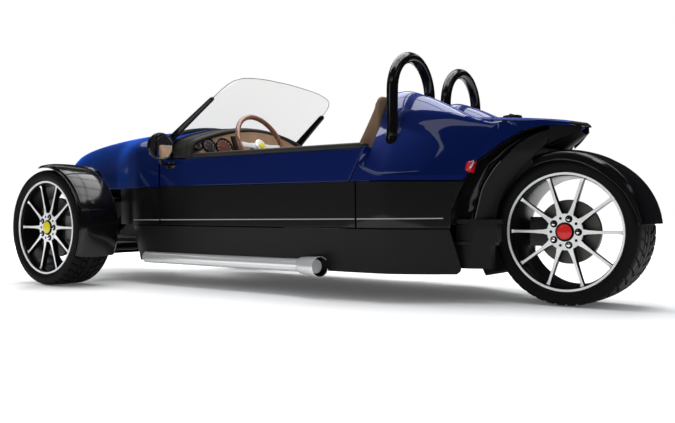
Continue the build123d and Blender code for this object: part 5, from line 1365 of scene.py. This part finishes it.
def build_dash():
    """Leather dash under the cowl: dials, a centre stack, switches, a glove box seam and a lower roll."""
    x = np.linspace(-0.474, 0.474, 97)
    v = np.linspace(0, 1, 26)
    top = np.minimum(0.841 - 0.40 * x**2, 0.838)
    corner = 0.020 * np.clip((np.abs(x) - 0.40) / 0.074, 0, 1) ** 2
    low = 0.612 + corner
    z = low[None] + (top - low)[None] * v[:, None]
    x_all = np.broadcast_to(x[None], z.shape)
    face = surface(spread(x_all, dash_y(x_all, z), z))
    piece = make_piece("dash_leather", [face], ["tan"], "body", ["dash_panel"])
    recalc_from(piece, np.array([0, AXLE_Y, 0.7]))
    thicken(piece, 0.006, 0.001)
    roll = spread(x, dash_y(x, low) - 0.006, low)
    make_piece("dash_roll", [tube(roll, 0.014, 18)], ["pad"], "body", ["dash_panel"], outward=True)
    line = np.array([on_dash(0.198, h, 0.002)[0] for h in np.linspace(0.655, 0.796, 12)])
    stack = [swept(line, rounded_box((0.034, 0.007), 0.005, 5), up=(0, 1, 0))]
    for h in (0.680, 0.706, 0.732):
        bar = np.array([on_dash(0.198, k, 0.0095)[0] for k in (h, h + 0.016)])
        stack.append(swept(bar, rounded_box((0.025, 0.0020), 0.0018, 4), up=(0, 1, 0)))
    make_piece("dash_stack", stack, ["satin"], "body", ["dash_panel"], outward=True)
    switches = []
    for gx in (0.080, 0.045, 0.010, -0.025):
        foot, aim = on_dash(gx, 0.700, -0.001)
        switches.append(lathe([(0.0, 0.0062), (0.010, 0.0058), (0.012, 0.0040), (0.0125, 0.0)], foot, aim,
                              20))
    make_piece("dash_switches", switches, ["chrome"], "body", ["dash_panel"], merge=1e-6, outward=True)
    glove = rounded_box((0.150, 0.048), 0.020, 8) + (-0.270, 0.722)
    seam = spread(glove[:, 0], dash_y(glove[:, 0], glove[:, 1]) + 0.0008, glove[:, 1])
    make_piece("dash_glove_seam", [tube(seam, 0.0016, 8, closed=True, up=(0, 1, 0))], ["matte"], "body",
               ["dash_panel"], outward=True)
    build_dials()


def build_dials():
    """Round dials in gloss rims, each with marks round its edge and one needle."""
    faces, rims, marks, needles = [], [], [], []
    for gx, gz, r, kind in ((0.452, 0.735, 0.0265, 0), (0.3885, 0.736, 0.0365, 0), (0.294, 0.729, 0.051, 1)):
        centre, aim = on_dash(gx, gz, 0.001)
        up = unit(np.array([0, 0, 1.0]) - aim[2] * aim)
        across = np.cross(up, aim)
        rims.append(lathe([(-0.008, r + 0.004), (0.006, r + 0.004), (0.009, r + 0.001), (0.006, r - 0.003),
                           (0.002, r - 0.004)],
                          centre, aim, 56))
        faces.append(lathe([(0.002, r - 0.0035), (0.0025, 0.0)], centre, aim, 56, mat=kind))
        for a in np.radians(np.arange(-130, 131, 26)):
            out = np.sin(a) * across + np.cos(a) * up
            mark = centre + out * (r - 0.0095) + 0.0032 * aim
            marks.append(tube(np.stack([mark - out * 0.0035, mark + out * 0.0035]), 0.0011, 6, up=aim))
        hand = centre + 0.0045 * aim
        needles.append(tube(np.stack([hand, hand + r * (0.30 * up - 0.72 * across)]), 0.0011, 6, up=aim))
    make_piece("dial_rims", rims, ["coat"], "body", ["dash_panel"], outward=True)
    make_piece("dial_faces", faces, ["dial", "warm dial"], "body", ["dash_panel"])
    make_piece("dial_marks", marks, ["figure"], "body", ["dash_panel"], merge=1e-6, outward=True)
    make_piece("dial_needles", needles, ["needle"], "body", ["dash_panel"], merge=1e-6, outward=True)


def build_steering_wheel():
    """Steering wheel: turned wooden rim, three brushed spokes and a coloured boss."""
    tilt = np.radians(22.5)
    centre = np.array([0.245, AXLE_Y + 0.977, 0.733])
    normal = np.array([0, np.cos(tilt), np.sin(tilt)])
    across = np.array([1.0, 0, 0])
    upward = np.cross(across, normal) * -1
    upward = upward * np.sign(upward[2])
    a = np.linspace(0, 2 * np.pi, 120, endpoint=False)
    circle = centre + size("wheel_radius") * (np.cos(a)[:, None] * across + np.sin(a)[:, None] * upward)
    grip = size("grip_radius") * (1 + 0.05 * np.abs(np.sin(a * 12)))
    rim = tube(circle, 1.0, 28, closed=True, up=normal, scale=grip)
    make_piece("steering_wheel_rim", [rim], ["wood"], "steering_wheel", ["steering_rim"], outward=True)
    spokes = []
    for angle in np.radians([0, 180, 270]):
        out = np.cos(angle) * across + np.sin(angle) * upward
        w = np.linspace(0.030, 0.158, 14)[:, None]
        path = centre + out * w - normal * (0.004 + 0.006 * (1 - (w - 0.03) / 0.128))
        wide = np.interp(w[:, 0], [0.03, 0.08, 0.158], [0.019, 0.0130, 0.0165])
        spokes.append(swept(path, rounded_box((1.0, 0.14), 0.13, 4), up=normal, scale=wide))
    boss = [(-0.026, 0.030), (-0.010, 0.038), (-0.003, 0.038), (0.001, 0.034), (0.002, 0.026), (0.002, 0.0)]
    spokes.append(lathe(boss, centre, normal, 56))
    make_piece("steering_wheel_spokes", spokes, ["spoke"], "steering_wheel", ["steering_spokes"],
               outward=True)
    cap = [(0.0019, 0.0195), (0.0050, 0.0188), (0.0068, 0.012), (0.0072, 0.0)]
    make_piece("steering_wheel_cap", [lathe(cap, centre, normal, 56)], ["yellow cap"], "steering_wheel",
               ["steering_spokes"], outward=True)


def pad_shell(section, x0, x1, rows=30):
    """Closed pillow blank: a side-view section carried across, drawn in towards both ends."""
    section = np.asarray(section, float)
    lengths = np.linalg.norm(np.roll(section, -1, 0) - section, axis=1)
    share = np.concatenate([[0], np.cumsum(lengths)])
    where = np.linspace(0, share[-1], 97)[:-1]
    loop = np.stack([np.interp(where, share, np.append(section[:, k], section[0, k])) for k in (0, 1)], 1)
    middle = loop.mean(axis=0)
    u = np.linspace(-1, 1, rows)
    draw = (1 - np.abs(u) ** 6 * 0.16)
    ring_points = middle + (loop - middle)[None] * draw[:, None, None]
    x = (x0 + x1) / 2 + (x1 - x0) / 2 * np.sin(u * np.pi / 2 * 0.98)
    points = spread(x[:, None], AXLE_Y + ring_points[..., 0], ring_points[..., 1])
    ends = []
    for row in (points[0], points[-1]):
        centre = np.repeat(row.mean(axis=0)[None], len(row), axis=0)
        rounds = np.linspace(0, 1, 9)[:, None, None]
        ends.append(surface(row[None] + (centre - row)[None] * rounds, wrap_v=True))
    return [surface(points, wrap_v=True), *ends]


def inflate(name, patches, pinned, swell, cap_move):
    """Cushion by cloth simulation: remesh, pressure from inside, pinned seams, movement capped."""
    blank = make_piece(name + "_blank", patches, [], "body", outward=True)
    remesh = blank.modifiers.new("even", "REMESH")
    remesh.mode = "VOXEL"
    remesh.voxel_size = 0.0065
    source = bpy.data.meshes.new_from_object(blank.evaluated_get(bpy.context.evaluated_depsgraph_get()))
    blank.modifiers.clear()
    blank.data = source
    count = len(source.vertices)
    before = np.zeros(count * 3)
    source.vertices.foreach_get("co", before)
    before = before.reshape(-1, 3)
    weight = pinned(before)
    group = blank.vertex_groups.new(name="seams")
    for value in np.unique(np.round(weight, 1)):
        members = np.flatnonzero(np.round(weight, 1) == value)
        group.add(members.tolist(), float(value), "REPLACE")
    cloth = blank.modifiers.new("air", "CLOTH")
    cloth.settings.quality = 4
    cloth.settings.mass = 0.3
    cloth.settings.tension_stiffness = 14
    cloth.settings.compression_stiffness = 14
    cloth.settings.bending_stiffness = 0.6
    cloth.settings.use_pressure = True
    cloth.settings.uniform_pressure_force = swell
    cloth.settings.vertex_group_mass = "seams"
    cloth.settings.effector_weights.gravity = 0
    scene = bpy.context.scene
    for number in range(1, 21):
        scene.frame_set(number)
    after_mesh = blank.evaluated_get(bpy.context.evaluated_depsgraph_get()).to_mesh()
    after = np.zeros(count * 3)
    after_mesh.vertices.foreach_get("co", after)
    blank.modifiers.clear()
    scene.frame_set(1)
    move = after.reshape(-1, 3) - before
    size = np.linalg.norm(move, axis=1, keepdims=True)
    move = move * np.minimum(1, cap_move / np.maximum(size, 1e-9))
    before = before + move
    source.vertices.foreach_set("co", before.reshape(-1))
    source.polygons.foreach_set("use_smooth", np.ones(len(source.polygons), dtype=bool))
    source.update()
    return blank, source


SEAT_X = 0.222


def build_seats():
    """Two leather seats: simulated cushions and backs with sewn channels."""
    lean = (1.766 - 1.600) / (0.905 - 0.330)
    half = size("seat_width") / 2
    cushion = [(1.205, 0.200), (1.205, 0.298), (1.228, 0.318), (1.580, 0.318), (1.540, 0.185)]
    back = [(1.584, 0.235), (1.610, 0.330), (1.676, 0.711), (1.764, 0.868), (1.774, 0.902), (1.785, 0.910),
            (1.794, 0.902), (1.797, 0.750), (1.745, 0.235)]

    def cushion_pins(p):
        """Holds the cushion's two sewn channels and its underside: 1 is held, 0 is free."""
        x = (np.abs(p[:, 0]) - SEAT_X) / 0.150
        channel = np.clip(1 - np.abs(np.abs(x) - 0.55) / 0.035, 0, 1) * (p[:, 2] > 0.29)
        low = np.clip((0.24 - p[:, 2]) / 0.02, 0, 1)
        return np.maximum(channel, low)

    def back_pins(p):
        """Holds the back's sewn channels, its cross seams and its rear face: 1 is held, 0 is free."""
        x = (np.abs(p[:, 0]) - SEAT_X) / 0.150
        front = p[:, 1] - AXLE_Y < 1.618 + lean * (p[:, 2] - 0.33)
        channel = np.clip(1 - np.abs(np.abs(x) - 0.50) / 0.035, 0, 1) * front
        rows = np.clip(1 - np.abs((p[:, 2] - 0.42) % 0.11 - 0.055) / 0.006, 0,
                       1) * (np.abs(x) < 0.5) * front * (p[:, 2] < 0.80)
        rear = np.clip((p[:, 1] - AXLE_Y - 1.625 - lean * (p[:, 2] - 0.33)) / 0.02, 0, 1)
        return np.maximum(np.maximum(channel, rows), rear)

    for node, section, pins, cap in (("seat_cushions", cushion, cushion_pins, 0.024),
                                     ("seat_backs", back, back_pins, 0.022)):
        piece, mesh = inflate(node, pad_shell(section, SEAT_X - half, SEAT_X + half), pins, 4.0, cap)
        twin_mesh = mesh.copy()
        points = np.zeros(len(mesh.vertices) * 3)
        mesh.vertices.foreach_get("co", points)
        points = points.reshape(-1, 3) * (-1, 1, 1)
        twin_mesh.vertices.foreach_set("co", points.reshape(-1))
        twin_mesh.flip_normals()
        for label, data in (("left", mesh), ("right", twin_mesh)):
            # The seats' finish is the tan leather darkened as painted shade.
            data.materials.append(MATERIALS["seat"])
            pad = link(f"{node}_{label}_pad", data)
            smooth = pad.modifiers.new("smooth", "SUBSURF")
            smooth.levels = 1
            smooth.render_levels = 1
            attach(pad, "body")
            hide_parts(node)
        bpy.data.objects.remove(piece)


# ---- chassis and studio
CHASSIS_FINISH = {
    "front_frame": "coat", "rear_frame": "coat", "wishbones": "coat", "dampers": "coat", "swing_arm": "coat",
    "knuckle_left": "cast", "knuckle_right": "cast", "steering_column": "coat", "steering_rack": "cast",
    "floor_tub": "matte", "firewall": "matte", "bulkhead": "matte", "engine_block": "iron",
    "rear_undertray": "satin",
}


def paint_chassis():
    """Finishes for the CAD nodes that show as they are."""
    for node, finish in CHASSIS_FINISH.items():
        paint(node, finish)


CAMERA_PLACE = (3.172, 2.530, 0.3915)
CAMERA_TURN = np.radians(125.98)
CAMERA_LENS = 40.05  # millimetres
FLOOR_HALF = 60.0
FLAG_RADIUS = 7.0
CEILING_Z = 3.4


def soft_light(name, location, target, size, power):
    """Rectangular softbox aimed at a point."""
    data = bpy.data.lights.new(name, "AREA")
    data.shape = "RECTANGLE"
    data.size, data.size_y = size
    data.energy = power
    light = link(name, data)
    light.location = location
    aim = np.array(target) - np.array(location)
    light.rotation_euler = Vector(aim).to_track_quat("-Z", "Y").to_euler()
    return light


def build_world(look):
    """White backdrop for the camera, in metal and behind glass, and an even room on matt surfaces."""
    world = bpy.data.worlds.new("studio")
    bpy.context.scene.world = world
    world.use_nodes = True
    tree = world.node_tree
    plain = tree.nodes["Background"]
    plain.inputs["Color"].default_value = (1, 1, 1, 1)
    plain.inputs["Strength"].default_value = 1.0
    room = tree.nodes.new("ShaderNodeBackground")
    room.inputs["Color"].default_value = (0.95, 0.97, 1.0, 1)
    room.inputs["Strength"].default_value = look.room_strength
    path = tree.nodes.new("ShaderNodeLightPath")
    seen = path.outputs["Is Camera Ray"]
    for kind in ("Is Glossy Ray", "Is Transmission Ray"):
        either = tree.nodes.new("ShaderNodeMath")
        either.operation = "MAXIMUM"
        tree.links.new(seen, either.inputs[0])
        tree.links.new(path.outputs[kind], either.inputs[1])
        seen = either.outputs[0]
    mix = tree.nodes.new("ShaderNodeMixShader")
    tree.links.new(seen, mix.inputs["Fac"])
    tree.links.new(room.outputs[0], mix.inputs[1])
    tree.links.new(plain.outputs[0], mix.inputs[2])
    tree.links.new(mix.outputs[0], tree.nodes["World Output"].inputs["Surface"])


def build_floor():
    """Pale floor that keeps the soft shadow, is white where it is lit, and lightens far from the car."""
    material, tree, principled = shader("studio floor", (0.90, 0.90, 0.90), 0.9, **{
        "Specular IOR Level": 0.0, "Emission Color": (1, 1, 1, 1)})
    noise = pattern(tree, "ShaderNodeTexNoise", 1.5, Detail=1.0)
    tree.links.new(colour_ramp(tree, noise.outputs["Fac"], [(0.0, (0.89, 0.89, 0.89)),
                                                            (1.0, (0.91, 0.91, 0.91))]),
                   principled.inputs["Base Color"])
    where = tree.nodes.new("ShaderNodeTexCoord")
    reach = tree.nodes.new("ShaderNodeVectorMath")
    reach.operation = "LENGTH"
    tree.links.new(where.outputs["Object"], reach.inputs[0])
    ramp = tree.nodes.new("ShaderNodeMapRange")
    tree.links.new(reach.outputs["Value"], ramp.inputs["Value"])
    for socket, value in {"From Min": 2.0, "From Max": 8.0, "To Min": 0.07, "To Max": 0.85}.items():
        ramp.inputs[socket].default_value = value
    tree.links.new(ramp.outputs["Result"], principled.inputs["Emission Strength"])
    u = np.linspace(-FLOOR_HALF, FLOOR_HALF, 9)
    sheet(material, "studio_floor", spread(u[:, None], u[None, :], 0.0))


def sheet(material, name, grid):
    """Flat studio surface over a grid of points, which isn't part of the car."""
    verts, faces, _ = surface(grid)
    mesh = bpy.data.meshes.new(name)
    mesh.from_pydata(verts.tolist(), [], faces.tolist())
    mesh.materials.append(material)
    piece = link(name, mesh)
    return piece


def build_flags():
    """Dark cards, seen only in reflections: a low wall round the studio and one over the softboxes."""
    material, tree, principled = shader("studio flag", (0.012, 0.012, 0.014), 1.0,
                                        **{"Specular IOR Level": 0.0})
    noise = pattern(tree, "ShaderNodeTexNoise", 2.0)
    tree.links.new(colour_ramp(tree, noise.outputs["Fac"], [(0.0, (0.010, 0.010, 0.012)),
                                                            (1.0, (0.014, 0.014, 0.016))]),
                   principled.inputs["Base Color"])
    u = np.linspace(0, 1, 33)[:, None]
    v = np.linspace(0, 1, 9)[None, :]
    turn = 2 * np.pi * u
    side = spread(FLAG_RADIUS * np.cos(turn), FLAG_RADIUS * np.sin(turn), 0.02 + 4.6 * v)
    top = spread(-4.0 + 8.0 * u, -4.5 + 9.5 * v, 3.9)
    for name, grid in (("flag_side", side), ("flag_top", top)):
        card = sheet(material, name, grid)
        for ray in ("camera", "diffuse", "transmission", "shadow"):
            setattr(card, "visible_" + ray, False)


def build_camera():
    """Level camera at the rear left quarter, a little above axle height."""
    data = bpy.data.cameras.new("camera")
    data.sensor_width = 36.0
    data.lens = CAMERA_LENS
    camera = link("camera", data)
    camera.location = CAMERA_PLACE
    camera.rotation_euler = (np.radians(90), 0, CAMERA_TURN)
    bpy.context.scene.camera = camera


def build_stage(look):
    """Floor, world, dark cards, overhead softboxes in rows, a fill beside the nose, and the camera."""
    build_world(look)
    build_floor()
    build_flags()
    for column, x in enumerate((-1.45, -0.35, 0.75)):
        for row, y in enumerate((-1.8, -0.6, 0.6, 1.8)):
            soft_light(f"ceiling_{column}_{row}", (x, y, CEILING_Z), (x, y, 0), (1.0, 1.1),
                       look.ceiling_power / 12)
    soft_light("side_fill", (5.0, -1.5, 2.2), (0, -0.5, 0.5), (2.0, 1.4), look.fill_power)
    nose = soft_light("nose_strip", (-2.7, -5.3, 1.7), (0, -1.2, 0.8), (2.8, 1.6), look.nose_power)
    nose.visible_camera = False
    nose.visible_glossy = False
    build_camera()
    bpy.context.scene.view_settings.view_transform = "Standard"


# ---- add-on
class CarSizes(bpy.types.PropertyGroup):
    """Sizes that can be set by hand."""
    tread_depth: bpy.props.FloatProperty(
        name="Tread depth", description="Depth of the tyres' grooves",
        default=0.0068, min=0, unit="LENGTH")
    exhaust_radius: bpy.props.FloatProperty(
        name="Exhaust radius", description="Outer radius of the side pipes",
        default=0.031, min=0, unit="LENGTH")
    glass_thickness: bpy.props.FloatProperty(
        name="Glass thickness", description="Thickness of the windshield",
        default=0.005, min=0, unit="LENGTH")
    fender_thickness: bpy.props.FloatProperty(
        name="Fender thickness", description="Thickness of the three fenders",
        default=0.005, min=0, unit="LENGTH")
    body_skin: bpy.props.FloatProperty(
        name="Body skin", description="Thickness of the blue and black shells",
        default=0.006, min=0, unit="LENGTH")
    door_skin: bpy.props.FloatProperty(
        name="Door skin", description="Thickness of the doors' outer skins",
        default=0.012, min=0, unit="LENGTH")
    hoop_radius: bpy.props.FloatProperty(
        name="Hoop radius", description="Radius of the roll hoops' bends",
        default=0.165, min=0, unit="LENGTH")
    hoop_tube: bpy.props.FloatProperty(
        name="Hoop tube", description="Radius of the roll hoops' tube",
        default=0.025, min=0, unit="LENGTH")
    stripe_width: bpy.props.FloatProperty(
        name="Stripe width", description="Height of the silver line",
        default=0.0042, min=0, unit="LENGTH")
    wheel_radius: bpy.props.FloatProperty(
        name="Steering wheel radius", description="Radius of the wooden rim's middle line",
        default=0.165, min=0, unit="LENGTH")
    grip_radius: bpy.props.FloatProperty(
        name="Grip radius", description="Radius of the wooden rim's section",
        default=0.0125, min=0, unit="LENGTH")
    seat_width: bpy.props.FloatProperty(
        name="Seat width", description="Width of a cushion and a back",
        default=0.32, min=0, unit="LENGTH")


class CarColours(bpy.types.PropertyGroup):
    """Colours that can be set by hand."""
    body_blue: bpy.props.FloatVectorProperty(
        name="Body blue", description="Base colour of the blue lacquer",
        default=(0.001, 0.01, 0.098), subtype="COLOR", size=3, min=0, max=1)
    leather_tan: bpy.props.FloatVectorProperty(
        name="Leather tan", description="Colour of the seats and the dash",
        default=(0.31, 0.185, 0.105), subtype="COLOR", size=3, min=0, max=1)
    front_cap: bpy.props.FloatVectorProperty(
        name="Front cap", description="Colour of the front wheels' centre discs",
        default=(0.72, 0.6, 0.01), subtype="COLOR", size=3, min=0, max=1)
    rear_cap: bpy.props.FloatVectorProperty(
        name="Rear cap", description="Colour of the rear wheel's centre disc",
        default=(0.62, 0.012, 0.008), subtype="COLOR", size=3, min=0, max=1)


class CarLight(bpy.types.PropertyGroup):
    """Light of the studio."""
    room_strength: bpy.props.FloatProperty(
        name="Room strength", description="Strength of the even light of the room",
        default=0.50, min=0, max=5)
    ceiling_power: bpy.props.FloatProperty(
        name="Ceiling power", description="Power of all the overhead softboxes", default=185.0, unit="POWER")
    fill_power: bpy.props.FloatProperty(
        name="Fill power", description="Power of the softbox beside the nose", default=15.0, unit="POWER")
    nose_power: bpy.props.FloatProperty(
        name="Nose power", description="Power of the softbox ahead of the nose", default=420.0, unit="POWER")


def size(name):
    """A size as it was typed: a property holds single precision, so the last digits are rounded off."""
    return round(getattr(bpy.context.scene.car_sizes, name), 7)


class CAR_OT_materials(bpy.types.Operator):
    """Makes every finish before the pieces use it."""
    bl_idname = "car.materials"
    bl_label = "Finishes"

    def execute(self, context):
        MATERIALS.update(build_materials(context.scene.car_colours))
        return {"FINISHED"}


class CAR_OT_front_body(bpy.types.Operator):
    """Builds the hood, cowl, lower nose and grille."""
    bl_idname = "car.front_body"
    bl_label = "Hood, nose and cowl"

    def execute(self, context):
        build_hood()
        build_cowl()
        build_nose_lower()
        build_grille()
        return {"FINISHED"}


class CAR_OT_sides(bpy.types.Operator):
    """Builds the doors, side panels, sills and pinstripe."""
    bl_idname = "car.sides"
    bl_label = "Doors, side panels and stripe"

    def execute(self, context):
        build_doors()
        build_side_panels()
        build_pinstripe()
        return {"FINISHED"}


class CAR_OT_rear_body(bpy.types.Operator):
    """Builds the rear deck, arch bands, wheel well and fuel cap."""
    bl_idname = "car.rear_body"
    bl_label = "Rear deck and arch bands"

    def execute(self, context):
        build_rear_deck()
        build_arch_bands()
        build_wheel_well()
        build_tail_underside()
        build_fuel_cap()
        return {"FINISHED"}


class CAR_OT_glass_and_hoops(bpy.types.Operator):
    """Builds the windshield, its stays and the roll hoops."""
    bl_idname = "car.glass_and_hoops"
    bl_label = "Windshield and hoops"

    def execute(self, context):
        build_windshield()
        build_posts()
        build_hoops()
        return {"FINISHED"}


class CAR_OT_wheels(bpy.types.Operator):
    """Builds tyres, rims and discs."""
    bl_idname = "car.wheels"
    bl_label = "Wheels"

    def execute(self, context):
        build_wheels()
        return {"FINISHED"}


class CAR_OT_fenders(bpy.types.Operator):
    """Builds the fenders."""
    bl_idname = "car.fenders"
    bl_label = "Fenders"

    def execute(self, context):
        build_fenders()
        return {"FINISHED"}


class CAR_OT_fittings(bpy.types.Operator):
    """Builds mirrors, headlamps and exhausts."""
    bl_idname = "car.fittings"
    bl_label = "Mirrors, lamps and exhausts"

    def execute(self, context):
        build_mirrors()
        build_headlamps()
        build_exhaust()
        return {"FINISHED"}


class CAR_OT_cabin(bpy.types.Operator):
    """Builds the dash and the steering wheel."""
    bl_idname = "car.cabin"
    bl_label = "Dash and steering wheel"

    def execute(self, context):
        build_dash()
        build_steering_wheel()
        return {"FINISHED"}


class CAR_OT_seats(bpy.types.Operator):
    """Builds the padded seats."""
    bl_idname = "car.seats"
    bl_label = "Seats"

    def execute(self, context):
        build_seats()
        return {"FINISHED"}


class CAR_OT_chassis(bpy.types.Operator):
    """Gives the chassis its finishes."""
    bl_idname = "car.chassis"
    bl_label = "Chassis"

    def execute(self, context):
        paint_chassis()
        return {"FINISHED"}


class CAR_OT_stage(bpy.types.Operator):
    """Builds the floor, world, lights and camera."""
    bl_idname = "car.stage"
    bl_label = "Studio and camera"

    def execute(self, context):
        build_stage(context.scene.car_light)
        return {"FINISHED"}


SETTINGS = {"car_sizes": CarSizes, "car_colours": CarColours, "car_light": CarLight}
OPERATORS = (CAR_OT_materials, CAR_OT_front_body, CAR_OT_sides, CAR_OT_rear_body, CAR_OT_glass_and_hoops,
             CAR_OT_wheels, CAR_OT_fenders, CAR_OT_fittings, CAR_OT_cabin, CAR_OT_seats, CAR_OT_chassis,
             CAR_OT_stage)


class CAR_PT_panel(bpy.types.Panel):
    """Lists the car's settings and its building steps."""
    bl_idname = "CAR_PT_panel"
    bl_label = "Three-Wheeled Car"
    bl_space_type = "VIEW_3D"
    bl_region_type = "UI"
    bl_category = "Car"

    def draw(self, context):
        """Draws the settings, then a button for each step."""
        for name, group in SETTINGS.items():
            for item in group.__annotations__:
                self.layout.prop(getattr(context.scene, name), item)
        for operator in OPERATORS:
            self.layout.operator(operator.bl_idname)


def register():
    """Adds the classes and the settings."""
    for item in (*SETTINGS.values(), *OPERATORS, CAR_PT_panel):
        bpy.utils.register_class(item)
    for name, group in SETTINGS.items():
        setattr(bpy.types.Scene, name, bpy.props.PointerProperty(type=group))


def unregister():
    """Removes the settings and the classes."""
    for name in SETTINGS:
        delattr(bpy.types.Scene, name)
    for item in (CAR_PT_panel, *OPERATORS[::-1], *SETTINGS.values()):
        bpy.utils.unregister_class(item)


def main():
    """Builds everything in order."""
    register()
    for operator in OPERATORS:
        getattr(bpy.ops.car, operator.bl_idname.split(".")[1])()


if __name__ == "__main__":
    main()
